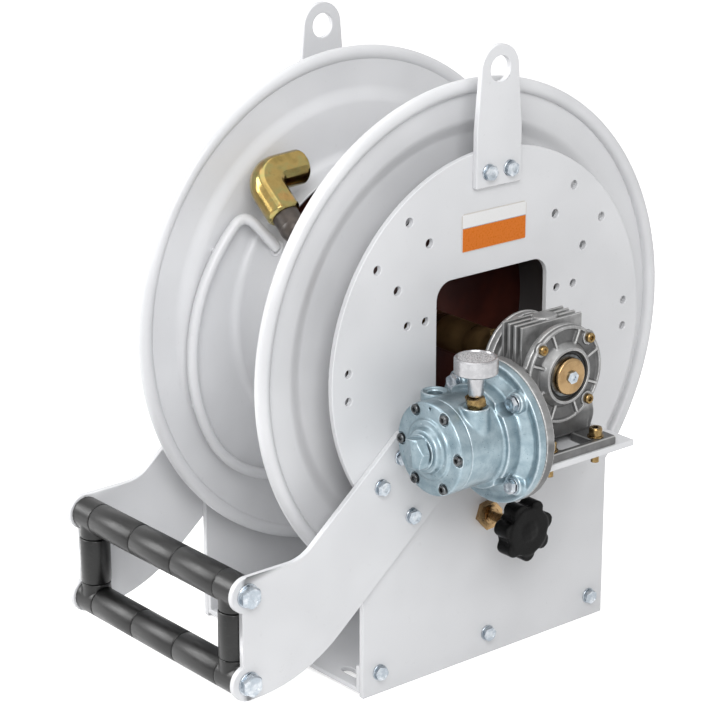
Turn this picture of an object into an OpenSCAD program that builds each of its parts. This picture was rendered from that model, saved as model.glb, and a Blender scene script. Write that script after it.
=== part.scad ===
// Powered fire hose reel: a drum between two side plates, driven by an air motor
// through a worm gearbox, with a four-sided roller guide in front and a hand brake.
// Millimetres. X is the drum axis, with +X towards the gearbox. -Y is the front.
// The origin is the centre of the base pan's fixing slots, on the pan's underside.

/* [Drum] */
// Height of the drum axis above the underside of the base pan
axis_h = 321; // [312:1:345]
// Outer radius of the drum flanges
flange_r = 260; // [245:1:268]
// Width of the drum over its rolled rims
drum_w = 200; // [190:1:220]
// Outer radius of the hub that the hose winds on
hub_r = 150; // [142:1:151]
// Sheet thickness of the drum
drum_sheet = 3; // [2:0.5:4]
// Diameter of the rolled rim
rim_bead = 14.5; // [12:0.5:17]
// How far the flange's outer face lies behind the rim's outer plane
rim_depth = 8; // [6:0.5:10]
// Radius at which each flange steps inward
step_r = 212; // [200:1:220]
// Radial width of that sloping step
step_w = 14; // [8:1:20]
// Depth of that step
step_depth = 6; // [3:0.5:9]
// Distance of the driving web from the middle of the drum
web_x = 8; // [6:1:20]
// Thickness of the webs inside the hub
web_t = 4; // [3:0.5:6]
// Radius of the doubling plate on the driving web
web_boss_r = 52; // [40:1:70]
// Thickness of that doubling plate
web_boss_t = 8; // [5:0.5:10]
// Radius of the drum shaft
shaft_r = 17.5; // [15:0.5:19]
// Radius of the drum shaft inside the gearbox
shaft_end_r = 12.5; // [10:0.5:14]

/* [Hose connection] */
// Distance of the elbow's corner from the middle of the drum
elbow_x = 61; // [58:1:66]
// Distance of the elbow's corner in front of the drum axis
elbow_y = 134; // [128:1:138]
// Height of the elbow's corner above the drum axis
elbow_z = 155; // [150:1:158]
// Slope of the elbow's inlet leg below the drum axis direction, in degrees
elbow_tilt = 38; // [35:1:42]
// Upward turn of the elbow on its pipe, in degrees
elbow_turn = 4.5; // [4:0.5:8]
// Radius of the elbow's bend
elbow_bend = 20; // [19.5:0.5:24]
// Radius of the elbow's legs
elbow_r = 17.5; // [16.5:0.5:19]
// Thickness of the elbow across its flats
elbow_flat = 30; // [29:0.5:33]
// Length of the elbow's outlet leg
outlet_len = 50; // [44:1:56]
// Length of the elbow's inlet leg
inlet_len = 50; // [46:1:50]
// Radius of the outlet thread
outlet_thread_r = 12; // [11:0.5:13]
// Depth of the outlet thread
outlet_thread_len = 20; // [12:1:25]
// Outer radius of the feed pipe
pipe_r = 13.5; // [12.5:0.5:14]
// Wall of the feed pipe
pipe_wall = 2.5; // [2:0.5:4]
// Depth of the socket that takes the feed pipe
socket_len = 14; // [10:1:18]
// Distance from the elbow's corner to the bend of the feed pipe
pipe_bend = 66; // [66:1:67]
// Width of the opening in the hub
hub_slot_w = 62; // [58:1:64]
// Length of the opening in the hub, measured straight across
hub_slot_len = 166; // [150:1:176]
// Corner radius of the opening in the hub
hub_slot_corner = 18; // [12:1:20]
// Direction of the opening's middle, in degrees from +Y
hub_slot_angle = 105; // [102:1:108]
// Distance of the opening from the driving web
hub_slot_gap = 2; // [1:0.5:4]
// Clearance round the feed pipe where it passes through the hub
pipe_room = 4; // [2:0.5:6]

/* [Hose guide bar] */
// Radius of the bar that lies along the left flange
bar_r = 5.5; // [5:0.5:6.5]
// Radius of the standoffs that carry it
standoff_r = 3; // [2.5:0.5:4.5]
// Gap between the bar and the flange
bar_gap = 3; // [2:0.5:5]
// Radius of the bar's arc
bar_arc_r = 180; // [176:1:184]
// Forward offset of the arc's centre
bar_arc_y = 30; // [26:1:33]
// Downward offset of the arc's centre
bar_arc_z = 22; // [18:1:24]
// Start of the bar's arc, in degrees from +Y
bar_start = 129; // [126:1:134]
// Where the arc tightens towards its lower end, in degrees from +Y
bar_turn = 208; // [204:1:212]
// Radius of the tighter arc
bar_low_r = 110; // [100:1:120]
// End of the tighter arc, in degrees from +Y
bar_end = 262; // [256:1:264]
// Foot of the bar's upper leg on the hub, in degrees from +Y
bar_foot_top = 146; // [143:1:149]
// Foot of the bar's lower leg on the hub, in degrees from +Y
bar_foot_low = 232; // [230:1:235]
// How far the legs reach along the drum axis
bar_reach = 27; // [20:1:32]
// Distance of the outer standoffs from the arc's ends, in degrees
standoff_in = 15; // [10:1:25]

/* [Side plates] */
// Width over the two side plates
frame_w = 258; // [250:1:276]
// Thickness of the side plates, arms and lifting eyes
plate_t = 6; // [5:0.5:8]
// Radius of the plates' round top
plate_r = 199.5; // [190:1:205]
// Half width of the plates' straight part
plate_half = 162; // [156:1:172]
// How far the plates reach below the base pan
plate_drop = 4; // [2:0.5:8]
// Width of the window in the right plate
window_w = 143; // [130:1:150]
// Height of the window's upper edge above the drum axis
window_top = 79; // [70:1:84]
// Height of the window's lower edge below the drum axis
window_low = 62; // [50:1:68]
// Corner radius of the window
window_corner = 18; // [10:1:25]
// Height of the spare holes beside the window
spare_z = 44.5; // [40:0.5:50]
// Distance of the inner spare holes from the drum axis
spare_in_y = 85.5; // [82:0.5:90]
// Distance of the outer spare holes from the drum axis
spare_out_y = 108; // [100:1:116]
// Distance of the edge holes from the drum axis
edge_hole_y = 179.5; // [174:0.5:184]
// Height of the upper edge holes above the drum axis
edge_hole_hi = 12.7; // [10:0.1:18]
// Depth of the lower edge holes below the drum axis
edge_hole_lo = 14.3; // [10:0.1:18]
// Radius of the spare holes and the edge holes
spare_hole_r = 4; // [3:0.5:5]
// Radius of the hole for the shaft in the left plate
left_hole_r = 32; // [28:1:36]

/* [Base pan] */
// Sheet thickness of the base pan
pan_t = 5; // [3:0.5:6]
// Height of the base pan's upturned sides
pan_h = 28.5; // [26:0.5:36]
// Spacing of the fixing slots along the drum axis
slot_dx = 180; // [160:1:190]
// Distance of the fixing slots from the pan's front and back edges
slot_in = 19; // [17:1:40]
// Width of a fixing slot
slot_w = 11; // [9:0.5:13]
// Length of a fixing slot
slot_len = 28; // [18:1:34]
// Distance of the outer base bolts from the plates' front and back edges
base_bolt_in = 20; // [14:1:40]
// Height of those bolts above the pan's underside
base_bolt_z = 19.5; // [17:0.5:21]

/* [Fasteners] */
// Radius of the plate bolts
bolt_r = 4; // [3:0.5:5]
// Clearance of each bolt hole, on the radius
hole_play = 0.5; // [0.3:0.1:0.8]
// Width of the plate bolts' heads across their flats
bolt_af = 13; // [12:0.5:14]
// Height of the plate bolts' heads
bolt_head = 5.3; // [4:0.1:6.5]
// Radius of the bolts that hold the roller rods
rod_bolt_r = 6; // [5:0.5:6.5]
// Width of the rod bolts' heads across their flats
rod_bolt_af = 19; // [17:1:22]
// Height of the rod bolts' heads
rod_bolt_head = 7.5; // [6:0.5:9]
// Radius of the plate bolts' washers
washer_r = 8; // [7.5:0.25:9]
// Radius of the rod bolts' washers
rod_washer_r = 11.75; // [11:0.25:13]
// Length of the rod bolts inside the rods
rod_bolt_len = 20; // [14:1:26]
// Room past the ends of bolts and shafts
tip_room = 2; // [1:0.5:3]
// Thickness of the washers
washer_t = 1.6; // [1:0.1:2]

/* [Lifting eyes] */
// Height of the eye's centre above the drum axis
eye_z = 276; // [270:1:282]
// Radius of the eye's hole
eye_hole_r = 12.5; // [10:0.5:14]
// Outer radius of the eye's top
eye_r = 23.5; // [21:0.5:26]
// Half width of the eye's plate
eye_half = 28.5; // [26:0.5:32]
// Height at which the eye's plate starts to narrow
eye_neck_z = 218; // [212:1:226]
// Height of the eye plate's lower edge
eye_low_z = 164; // [160:1:166]
// Height of the eye bolts
eye_bolt_z = 179; // [177:1:184]
// Half spacing of the eye bolts
eye_bolt_y = 13.5; // [11:0.5:16]

/* [Arms] */
// Distance of the roller axes in front of the drum axis
guide_y = 305; // [298:1:315]
// Depth of the upper roller axis below the drum axis
guide_hi = 172; // [168:1:176]
// Depth of the lower roller axis below the drum axis
guide_lo = 261; // [256:1:268]
// Radius of the arm's ears
ear_r = 18; // [16:0.5:20]
// Front edge of the arm between the ears
arm_front = 311; // [306:1:316]
// Slope of the arms, in degrees
arm_slope = 39.5; // [38:0.5:41]
// Point of the arm's upper edge, in front of the drum axis
arm_top_y = 171; // [168:1:174]
// Depth of that point below the drum axis
arm_top_z = 97; // [94:1:100]
// Width of the arm
arm_w = 97; // [94:1:102]
// Length of the arm's sloping part from that point to its end
arm_end = 74; // [70:1:80]
// Corner radius at the arm's end
arm_corner = 14; // [8:1:20]
// Radius of the curve in the arm's upper edge
arm_fillet = 40; // [30:1:50]
// Direction of the arm's bolt pattern, in degrees from +Y
pattern_a = 225; // [223:1:227]
// Distance of the bolt pattern's centre from the drum axis
pattern_r = 160; // [157:1:163]
// Bolt spacing across the pattern
pattern_w = 55; // [50:1:58]
// Bolt spacing along the pattern
pattern_d = 35; // [32:1:38]

/* [Guide rollers] */
// Radius of the rollers
roller_r = 16; // [14:0.5:17]
// Radius of the rods through the rollers
rod_r = 9; // [8:0.5:10]
// Running clearance of the rollers, on the radius
roller_play = 0.08; // [0.04:0.01:0.1]
// Length of the corner pieces
corner_len = 27.5; // [25:0.5:30]
// Gap at each end of a roller
roller_gap = 0.4; // [0.3:0.1:1]
// Radius of the upright rollers
side_roller_r = 15; // [13:0.5:15]
// Room between the upright rollers and the arms
side_room = 0.5; // [0.5:0.5:2]
// Length of the corner pieces' stubs
stub_len = 20.5; // [19:0.5:24]
// Radius of the stubs
stub_r = 14.5; // [12:0.5:14.5]
// Radius of the pins through the upright rollers
side_rod_r = 6; // [5:0.5:7]

/* [Brake] */
// Depth of the brake screw below the drum axis
brake_z = 171; // [168:1:176]
// Distance of the brake screw in front of the drum axis
brake_y = 4; // [0:1:8]
// Radius of the pin at the brake screw's end
brake_pin_r = 5; // [4:0.5:5.5]
// Radius of the brake screw
brake_r = 6; // [5:0.5:7]
// Width of the brake bush across its flats
bush_af = 26; // [24:1:30]
// Length of the brake bush
bush_len = 10; // [8:0.5:14]
// Radius of the bush's collar
bush_collar_r = 11; // [10:0.5:13]
// Radius of the brake pad
pad_r = 20; // [17:1:21]
// Thickness of the brake pad's lining
pad_lining = 5; // [3:0.5:7]
// Radius of the brake pad's holder
pad_back_r = 16; // [12:1:18]
// Thickness of the brake pad's holder
pad_back = 8; // [6:0.5:10]
// Travel of the brake pad
brake_travel = 5.25; // [4:0.25:6]
// Gap that is left at the flange with the brake on
brake_stop = 0.3; // [0.2:0.1:0.5]
// Radius of the knob over its lobes
knob_r = 31.5; // [28:0.5:34]
// Radius of a knob lobe
lobe_r = 8.5; // [7:0.5:10]
// Radius of the knob between its lobes
knob_core_r = 24.7; // [24:0.1:26]
// Number of knob lobes
lobe_n = 7; // [5:1:8]
// Thickness of the knob's grip
knob_t = 21; // [16:1:24]
// Distance of the knob's face from the right plate
knob_out = 64; // [59:1:71]
// Thickness of the knob in front of the screw's hole
knob_wall = 5; // [4:0.5:8]
// Radius of the knob's hub
knob_hub_r = 12; // [10:0.5:15]
// Length of the knob's hub
knob_hub = 11; // [8:0.5:14]

/* [Gearbox] */
// Distance of the gearbox's middle from the right plate
gear_out = 70; // [70:0.5:77]
// Distance between the worm's axis and the wheel's axis
centre_dist = 50; // [48:0.5:52]
// Width of the housing between its covers
case_w = 55; // [50:1:58]
// Radius of the housing
case_r = 44; // [42:0.5:46]
// Width of the housing's rims under the covers
case_rim = 7; // [5:0.5:9]
// Radius of the housing over its fins
fin_r = 50; // [48:0.5:52]
// Number of fins
fin_n = 4; // [3:1:5]
// Thickness of a fin
fin_t = 3.5; // [2.5:0.5:4.5]
// Radius of the oil filler boss
filler_r = 9; // [7:0.5:12]
// How far the oil filler boss stands above the fins
filler_h = 1; // [0.5:0.5:4]
// Width of the worm case's block below the housing
block_w = 49; // [45:1:54]
// Half length of that block
block_half = 40; // [36:1:44]
// Radius of the covers
cover_r = 48; // [46:0.5:49]
// Thickness of the covers
cover_t = 4; // [3:0.5:6]
// Number of ribs on the outer cover
rib_n = 8; // [4:4:8]
// Width of those ribs
rib_t = 3; // [2:0.5:3.5]
// How far the ribs stand above the cover
rib_h = 2; // [1:0.5:3]
// Radius of the outer cover's boss
boss_r = 27; // [25:0.5:30]
// Length of the outer cover's boss
boss_len = 6; // [4:0.5:8]
// Half spacing of the cover screws
cover_screw = 30.5; // [29:0.5:31.5]
// Radius of the cover screws' heads
screw_head_r = 5.4; // [4.5:0.1:6]
// Height of the cover screws' heads
screw_head = 4; // [3:0.5:5]
// Radius of the cover screws
cover_screw_r = 3; // [2.5:0.5:3.5]
// Outer radius of the hollow shaft
hollow_r = 21; // [19:0.5:22]
// Outer radius of the oil seals
seal_r = 24.5; // [23.5:0.5:25.5]
// Outer radius of the hollow shaft's bearings
bearing_r = 31; // [28:0.5:33]
// Width of those bearings
bearing_w = 10; // [8:0.5:12]
// Running clearance of shafts in bearings, on the radius
shaft_play = 0.05; // [0.02:0.01:0.1]
// Radius of the worm wheel
wheel_r = 36; // [34:0.5:37]
// Width of the worm wheel
wheel_w = 24; // [20:1:28]
// Room round the worm wheel in the housing
wheel_room = 2; // [1:0.5:3]
// Gap between the worm and the wheel
mesh_gap = 0.3; // [0.2:0.1:0.5]
// Radius of the worm's shaft
worm_shaft_r = 10; // [9:0.5:11]
// Outer radius of the worm's bearings
worm_bearing_r = 17; // [15:0.5:18]
// Half length of the worm case
worm_half = 48; // [46:0.5:52]
// Wall at the closed end of the worm case
worm_end_wall = 4; // [3:0.5:6]
// Length of the worm's thread
worm_len = 48; // [40:2:52]
// Outer radius of the worm case
worm_case_r = 24; // [22:0.5:26]
// Depth of the feet's underside below the drum axis
foot_z = 74.5; // [74:0.5:78]
// Length of the feet across the drum axis direction
foot_w = 110; // [104:1:114]
// Width of each foot
foot_d = 27; // [24:0.5:27]
// Width of the bars that join the feet
foot_bar = 6; // [4:1:8]
// Inner edge of each foot
foot_in = 20.5; // [18:0.5:24]
// Thickness of the feet
foot_t = 9; // [7:0.5:11]
// Half width of the room between the feet for the worm case
foot_split = 20; // [19.5:0.5:22]
// Half spacing of the foot screws along the drum axis
foot_screw_x = 44.5; // [42:0.5:47]
// Half spacing of the foot screws from front to back
foot_screw_y = 30; // [26:0.5:36]
// Radius of the foot screws' heads
foot_head_r = 6.5; // [6:0.25:7]
// Height of the foot screws' heads
foot_head = 8; // [6:0.5:9]
// Length of the foot screws below the shelf
screw_tip = 10.5; // [4:0.5:14]
// Radius of the shaft's end cap
cap_r = 18; // [15:0.5:20]
// Radius of the screw in the end cap
cap_screw_r = 6; // [4:0.5:7]
// Height of that screw's head
cap_screw_h = 3; // [2:0.5:5]
// Thickness of the shaft's end cap
cap_t = 3; // [2:0.5:4]

/* [Gearbox shelf] */
// Length of the shelf
shelf_len = 127; // [125:1:133]
// Back edge of the shelf
shelf_back = 70; // [62:1:76]
// Front edge of the shelf
shelf_front = 47; // [44:0.5:47.5]

/* [Air motor] */
// Radius of the mounting flanges
motor_flange_r = 70; // [66:1:74]
// Thickness of the gearbox's mounting flange
adapter_t = 10; // [8:0.5:12]
// Thickness of the motor's mounting flange
motor_flange_t = 9; // [7:0.5:11]
// Height of the bolt pads on the motor's mounting flange
flange_pad_t = 6; // [3:0.5:8]
// Radius of those bolt pads
flange_pad_r = 10; // [9:0.5:12]
// Radius of the mounting flange's bolt circle
motor_pcd_r = 57.5; // [54:0.5:60]
// Radius of the motor's body
motor_r = 44; // [40:0.5:46]
// Length of the motor's body
motor_len = 61; // [56:1:66]
// Radius of the motor's end cap
motor_cap_r = 45; // [44:0.5:47]
// Thickness of the motor's end cap
motor_cap_t = 13.5; // [10:0.5:16]
// Radius of the motor cap's bolt circle
cap_bolt_r = 39.5; // [38:0.5:39.5]
// Length of the cap screws inside the motor's body
cap_screw_len = 12; // [8:1:16]
// Radius of the boss on the motor's cap
cap_boss_r = 21; // [18:0.5:24]
// Length of the boss on the motor's cap
cap_boss_t = 9; // [6:0.5:11]
// Width of the hexagon plug across its flats
plug_af = 28; // [24:1:30]
// Radius of the collar under the plug
plug_collar_r = 17; // [16.5:0.5:19]
// Thickness of that collar
plug_collar_t = 2; // [1:0.5:4]
// Height of the hexagon plug
plug_t = 12; // [9:0.5:14]
// Half spacing of the two ports
port_dx = 28; // [26:0.5:30]
// Distance of the ports in front of the drum axis
port_y = 110; // [106:1:114]
// Depth of the port faces below the drum axis
port_z = 7; // [5:0.5:12]
// Radius of the port bosses
port_r = 13.5; // [12:0.5:14.5]
// Radius of the port threads
port_thread_r = 6.6; // [5:0.1:7]
// Depth of the port threads
port_depth = 14; // [10:1:18]
// Radius of the rotor
rotor_r = 26; // [20:0.5:28]
// Length of the rotor
rotor_len = 44; // [38:1:48]
// Radius of the rotor's shaft
rotor_shaft_r = 6; // [5:0.5:7]
// Length of the rotor's shaft inside the worm
spline_len = 12; // [8:1:16]
// Room at each end of the rotor
rotor_gap = 2; // [1:0.5:3]
// Radius of the rotor's chamber
chamber_r = 30; // [28.5:0.5:32]

/* [Silencer] */
// Width of the silencer's hexagon across its flats
silencer_af = 17; // [14:1:19]
// Height of that hexagon
silencer_hex_h = 10; // [7:1:12]
// Radius of the silencer's neck
neck_r = 8; // [6:0.5:9]
// Radius of the silencer's disc
disc_r = 20.5; // [18:0.5:23]
// Thickness of the silencer's disc
disc_t = 16; // [12:0.5:18]
// Height of the silencer's top above the drum axis
silencer_top = 41; // [38:1:46]

/* [Left bearing and swivel] */
// Outer radius of the bearing housing
housing_r = 52; // [48:1:56]
// Thickness of the bearing housing's flange
housing_t = 8; // [6:0.5:10]
// Radius of the bearing housing's barrel
barrel_r = 35; // [33:0.5:38]
// Length of the bearing housing's barrel
barrel_len = 16; // [12:0.5:20]
// Outer radius of the left bearing
left_bearing_r = 30; // [26:0.5:31]
// Radius of the bearing housing's bolt circle
housing_bolt_r = 43; // [42:0.5:44]
// Radius of the swivel's body
swivel_r = 30; // [27:0.5:33]
// Length of the swivel's body
swivel_len = 46; // [40:1:54]
// Distance of the swivel's hexagon from its face
collar_len = 6; // [4:1:10]
// Length of the swivel's hexagon
hex_len = 22; // [14:1:26]
// Radius of the inlet thread
inlet_thread_r = 14; // [12:0.5:15]
// Depth of the inlet thread
inlet_thread_len = 22; // [16:1:26]

/* [Label] */
// Width of the rating plate
label_w = 83; // [70:1:90]
// Height of the rating plate
label_h = 38; // [30:1:42]
// Thickness of the rating plate
label_t = 0.8; // [0.5:0.1:1.2]
// Height of the rating plate's middle above the drum axis
label_z = 122; // [118:1:126]

/* [Hidden] */
$fn = 96;

// Play of parts that are pushed together and don't turn
fit_play = 0.02;
// Gap at the end of a shaft or a seat
shaft_gap = 1;
// Overlap of a bore with the one that meets it
fit_gap = 2;
// How much a bar or pipe swells at a bend
bend_bulge = 1.03;
// Overrun of a cut past the face it opens
cut = 1;

plate_x = frame_w / 2;
plate_in = plate_x - plate_t;
plate_out = plate_x + plate_t;
slot_dy = 2 * (plate_half - slot_in);
base_bolt_dy = plate_half - base_bolt_in;
side_roller_x = plate_x - side_roller_r - side_room;
gear_x = plate_x + gear_out;
knob_face = plate_x + knob_out;
shelf_x = plate_x + shelf_len;
flange_out = drum_w / 2 - rim_depth;
flange_in = flange_out - drum_sheet;
disc_out = flange_out - step_depth;
disc_in = flange_in - step_depth;
hub_bore = hub_r - drum_sheet;
bolt_hole_r = bolt_r + hole_play;
rod_hole_r = rod_bolt_r + hole_play;
segment = (2 * (plate_x - corner_len)) / 3;
case_out = gear_x + case_w / 2;
case_in = gear_x - case_w / 2;
boss_face = case_out + cover_t + boss_len;
inner_face = case_in - cover_t;
hollow_out = boss_face + shaft_gap / 2;
hollow_in = inner_face - shaft_gap;
worm_r = centre_dist - wheel_r - mesh_gap;
worm_z = axis_h - centre_dist;
worm_seat = worm_half - worm_end_wall;
adapter_y = -worm_half - adapter_t;
motor_y = adapter_y - motor_flange_t;
motor_end = motor_y - motor_len;
cap_face = motor_end - motor_cap_t;
boss_y = cap_face - cap_boss_t;
pad_face = disc_out + brake_stop + brake_travel;
pad_end = pad_face + pad_lining + pad_back;
knob_in = knob_face - knob_t - knob_hub;
housing_face = plate_x + housing_t + barrel_len;
swivel_face = housing_face + swivel_len;

steel = "silver";
paint = "gainsboro";
dark_plastic = "#262626";
zinc = "#c9a95a";
alloy = "#a9aaa8";

// A cylinder on the drum axis from x0 to x1
module round_x(x0, x1, r) {
  translate([x0, 0, axis_h]) rotate([0, 90, 0]) cylinder(h = x1 - x0, r = r);
}

module ring_x(x0, x1, r_out, r_in) {
  difference() {
    round_x(x0, x1, r_out);
    round_x(x0 - cut, x1 + cut, r_in);
  }
}

// A cylinder along Y on the worm's axis from y0 to y1
module round_y(y0, y1, r) {
  translate([gear_x, y0, worm_z]) rotate([-90, 0, 0]) cylinder(h = y1 - y0, r = r);
}

module ring_y(y0, y1, r_out, r_in) {
  difference() {
    round_y(y0, y1, r_out);
    round_y(y0 - cut, y1 + cut, r_in);
  }
}

// Stands an outline drawn in (y, z) about the drum axis on the plane x0, t thick
module upright(x0, t) {
  translate([x0, 0, axis_h]) rotate([90, 0, 90]) linear_extrude(t) children();
}

// Puts a piece that points along +Z on the right side, pointing outward
module at_right(x, y, z) {
  translate([x, y, axis_h + z]) rotate([0, 90, 0]) children();
}

module both_sides() {
  children();
  mirror([1, 0, 0]) children();
}

module rounded_rect(w, h, r) {
  square([w - 2 * r, h], center = true);
  square([w, h - 2 * r], center = true);
  for (sx = [-1, 1], sy = [-1, 1])
    translate([sx * (w / 2 - r), sy * (h / 2 - r)]) circle(r);
}

module hexagon(af, h) {
  cylinder(h = h, r = af / 2 / cos(30), $fn = 6);
}

// A bolt through a plate whose face is z = 0, with its head outside and its nut inside
module plate_bolt(grip) {
  translate([0, 0, washer_t]) hexagon(bolt_af, bolt_head);
  cylinder(h = washer_t, r = washer_r);
  translate([0, 0, -grip - bolt_head - washer_t]) cylinder(h = grip + bolt_head + washer_t, r = bolt_r);
  translate([0, 0, -grip - bolt_head]) difference() {
    hexagon(bolt_af, bolt_head);
    translate([0, 0, -cut]) cylinder(h = bolt_head + 2 * cut, r = bolt_r - fit_play);
  }
}

// Places of the pattern's four holes in the quarter that faces along angle a
function pattern_point(a, u, v) =
  [(pattern_r + u) * cos(a) - v * sin(a), (pattern_r + u) * sin(a) + v * cos(a)];
module at_pattern(a) {
  for (u = [-1, 1], v = [-1, 1])
    translate(pattern_point(a, u * pattern_d / 2, v * pattern_w / 2)) children();
}

// ---- Frame ----

module pan_slots() {
  for (sx = [-1, 1], sy = [-1, 1])
    translate([sx * slot_dx / 2, sy * slot_dy / 2, -cut]) {
      translate([-(slot_len - slot_w) / 2, -slot_w / 2, 0])
        cube([slot_len - slot_w, slot_w, pan_t + 2 * cut]);
      for (e = [-1, 1])
        translate([e * (slot_len - slot_w) / 2, 0, 0])
          cylinder(h = pan_t + 2 * cut, r = slot_w / 2);
    }
}

module base_pan() {
  color(paint) difference() {
    translate([-plate_in, -plate_half, 0]) cube([2 * plate_in, 2 * plate_half, pan_h]);
    translate([-plate_in + pan_t, -plate_half - cut, pan_t])
      cube([2 * (plate_in - pan_t), 2 * (plate_half + cut), pan_h]);
    pan_slots();
    for (y = [-1, 0, 1])
      translate([-plate_x, y * base_bolt_dy, base_bolt_z])
        rotate([0, 90, 0]) cylinder(h = frame_w, r = bolt_hole_r);
  }
}

module plate_outline() {
  circle(plate_r);
  translate([-plate_half, -axis_h - plate_drop]) square([2 * plate_half, axis_h + plate_drop]);
}

module plate_holes() {
  for (y = [-1, 0, 1])
    translate([y * base_bolt_dy, base_bolt_z - axis_h]) circle(bolt_hole_r);
  // The arm's pattern, and the same one where the arm can sit instead
  for (turn = [0, 90, 180])
    at_pattern(pattern_a - turn) circle(bolt_hole_r);
  for (y = [-1, 1])
    translate([y * eye_bolt_y, eye_bolt_z]) circle(bolt_hole_r);
  // Spare holes for other gearboxes and covers
  for (s = [-1, 1]) {
    for (y = [spare_in_y, spare_out_y])
      translate([s * y, spare_z]) circle(spare_hole_r);
    for (z = [edge_hole_hi, -edge_hole_lo])
      translate([s * edge_hole_y, z]) circle(spare_hole_r);
  }
}

module right_side_plate() {
  color(paint) upright(plate_in, plate_t) difference() {
    plate_outline();
    plate_holes();
    translate([0, (window_top - window_low) / 2])
      rounded_rect(window_w, window_top + window_low, window_corner);
    translate([-brake_y, -brake_z]) circle(bush_collar_r);
  }
}

module left_side_plate() {
  color(paint) upright(-plate_x, plate_t) difference() {
    plate_outline();
    plate_holes();
    circle(left_hole_r);
    for (a = [45 : 90 : 315])
      rotate(a) translate([housing_bolt_r, 0]) circle(bolt_hole_r);
  }
}

module gearbox_shelf() {
  color(paint) difference() {
    translate([plate_x, -shelf_front, axis_h - foot_z - plate_t])
      cube([shelf_x - plate_x, shelf_front + shelf_back, plate_t]);
    at_foot_screws() translate([0, 0, -plate_t - cut])
      cylinder(h = plate_t + 2 * cut, r = bolt_r + fit_play);
  }
}

module eye_outline() {
  difference() {
    union() {
      translate([0, eye_z]) circle(eye_r);
      polygon([
        [-eye_half, eye_low_z], [eye_half, eye_low_z], [eye_half, eye_neck_z],
        [eye_r, eye_z], [-eye_r, eye_z], [-eye_half, eye_neck_z]
      ]);
    }
    translate([0, eye_z]) circle(eye_hole_r);
    for (y = [-1, 1])
      translate([y * eye_bolt_y, eye_bolt_z]) circle(bolt_hole_r);
  }
}

module right_lifting_eye() {
  color(paint) upright(plate_x, plate_t) eye_outline();
}

module left_lifting_eye() {
  mirror([1, 0, 0]) right_lifting_eye();
}

// The arm's upper edge runs along the direction (c, s) from its end down to the flat part
arm_c = cos(arm_slope);
arm_s = sin(arm_slope);
ear_top = -guide_hi + ear_r;
ear_low = -guide_lo - ear_r;
corner_y = -arm_top_y - (-arm_top_z - ear_top) / tan(arm_slope);
belly_r = (-arm_top_z - arm_w * arm_c - ear_low
  - (-arm_top_y + arm_w * arm_s + guide_y - ear_r / 2) * tan(arm_slope))
  / (1 - arm_c - arm_s * tan(arm_slope)) ;
function along(p, d) = [p[0] + d * arm_c, p[1] + d * arm_s];
arm_top = [-arm_top_y, -arm_top_z];
arm_low = [arm_top[0] + arm_w * arm_s, arm_top[1] - arm_w * arm_c];
belly_centre = [-guide_y + ear_r / 2, ear_low + belly_r];

module arm_outline() {
  fillet_end = arm_fillet * tan(arm_slope / 2);
  fillet_centre = [corner_y - fillet_end, ear_top + arm_fillet];
  polygon(concat(
    [[-guide_y, ear_top]],
    [for (i = [0 : 8]) let (a = -90 + i * arm_slope / 8)
      fillet_centre + arm_fillet * [cos(a), sin(a)]],
    [along(arm_top, arm_end - arm_corner)],
    [for (i = [0 : 8]) let (a = 90 + arm_slope - i * 90 / 8)
      along(arm_top, arm_end - arm_corner) + arm_corner * [arm_s, -arm_c]
        + arm_corner * [cos(a), sin(a)]],
    [for (i = [0 : 8]) let (a = arm_slope - i * 90 / 8)
      along(arm_low, arm_end - arm_corner) - arm_corner * [arm_s, -arm_c]
        + arm_corner * [cos(a), sin(a)]],
    [for (i = [0 : 12]) let (a = -90 + (12 - i) * arm_slope / 12)
      belly_centre + belly_r * [cos(a), sin(a)]],
    [[-guide_y, ear_low], [-arm_front, -guide_lo], [-arm_front, -guide_hi]]
  ));
  for (z = [guide_hi, guide_lo])
    translate([-guide_y, -z]) circle(ear_r);
}

module right_arm() {
  color(paint) upright(plate_x, plate_t) difference() {
    arm_outline();
    at_pattern(pattern_a) circle(bolt_hole_r);
    for (z = [guide_hi, guide_lo])
      translate([-guide_y, -z]) circle(rod_hole_r);
  }
}

module left_arm() {
  mirror([1, 0, 0]) right_arm();
}

module base_bolts() {
  color(steel) both_sides() for (y = [-1, 0, 1])
    at_right(plate_x, y * base_bolt_dy, base_bolt_z - axis_h) plate_bolt(plate_t + pan_t);
}

module plate_bolts() {
  color(steel) both_sides() {
    for (u = [-1, 1], v = [-1, 1]) {
      p = pattern_point(pattern_a, u * pattern_d / 2, v * pattern_w / 2);
      at_right(plate_out, p[0], p[1]) plate_bolt(2 * plate_t);
    }
    for (y = [-1, 1])
      at_right(plate_out, y * eye_bolt_y, eye_bolt_z) plate_bolt(2 * plate_t);
  }
  color(steel) mirror([1, 0, 0]) for (a = [45 : 90 : 315])
    at_right(plate_x + housing_t, housing_bolt_r * cos(a), housing_bolt_r * sin(a))
      plate_bolt(housing_t + plate_t);
}

// ---- Roller guide ----

module rod_bolts() {
  color(steel) both_sides() for (z = [guide_hi, guide_lo])
    at_right(plate_out, -guide_y, -z) {
      translate([0, 0, washer_t]) hexagon(rod_bolt_af, rod_bolt_head);
      cylinder(h = washer_t, r = rod_washer_r);
      translate([0, 0, -plate_t - rod_bolt_len]) cylinder(h = plate_t + rod_bolt_len, r = rod_bolt_r);
    }
}

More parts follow.
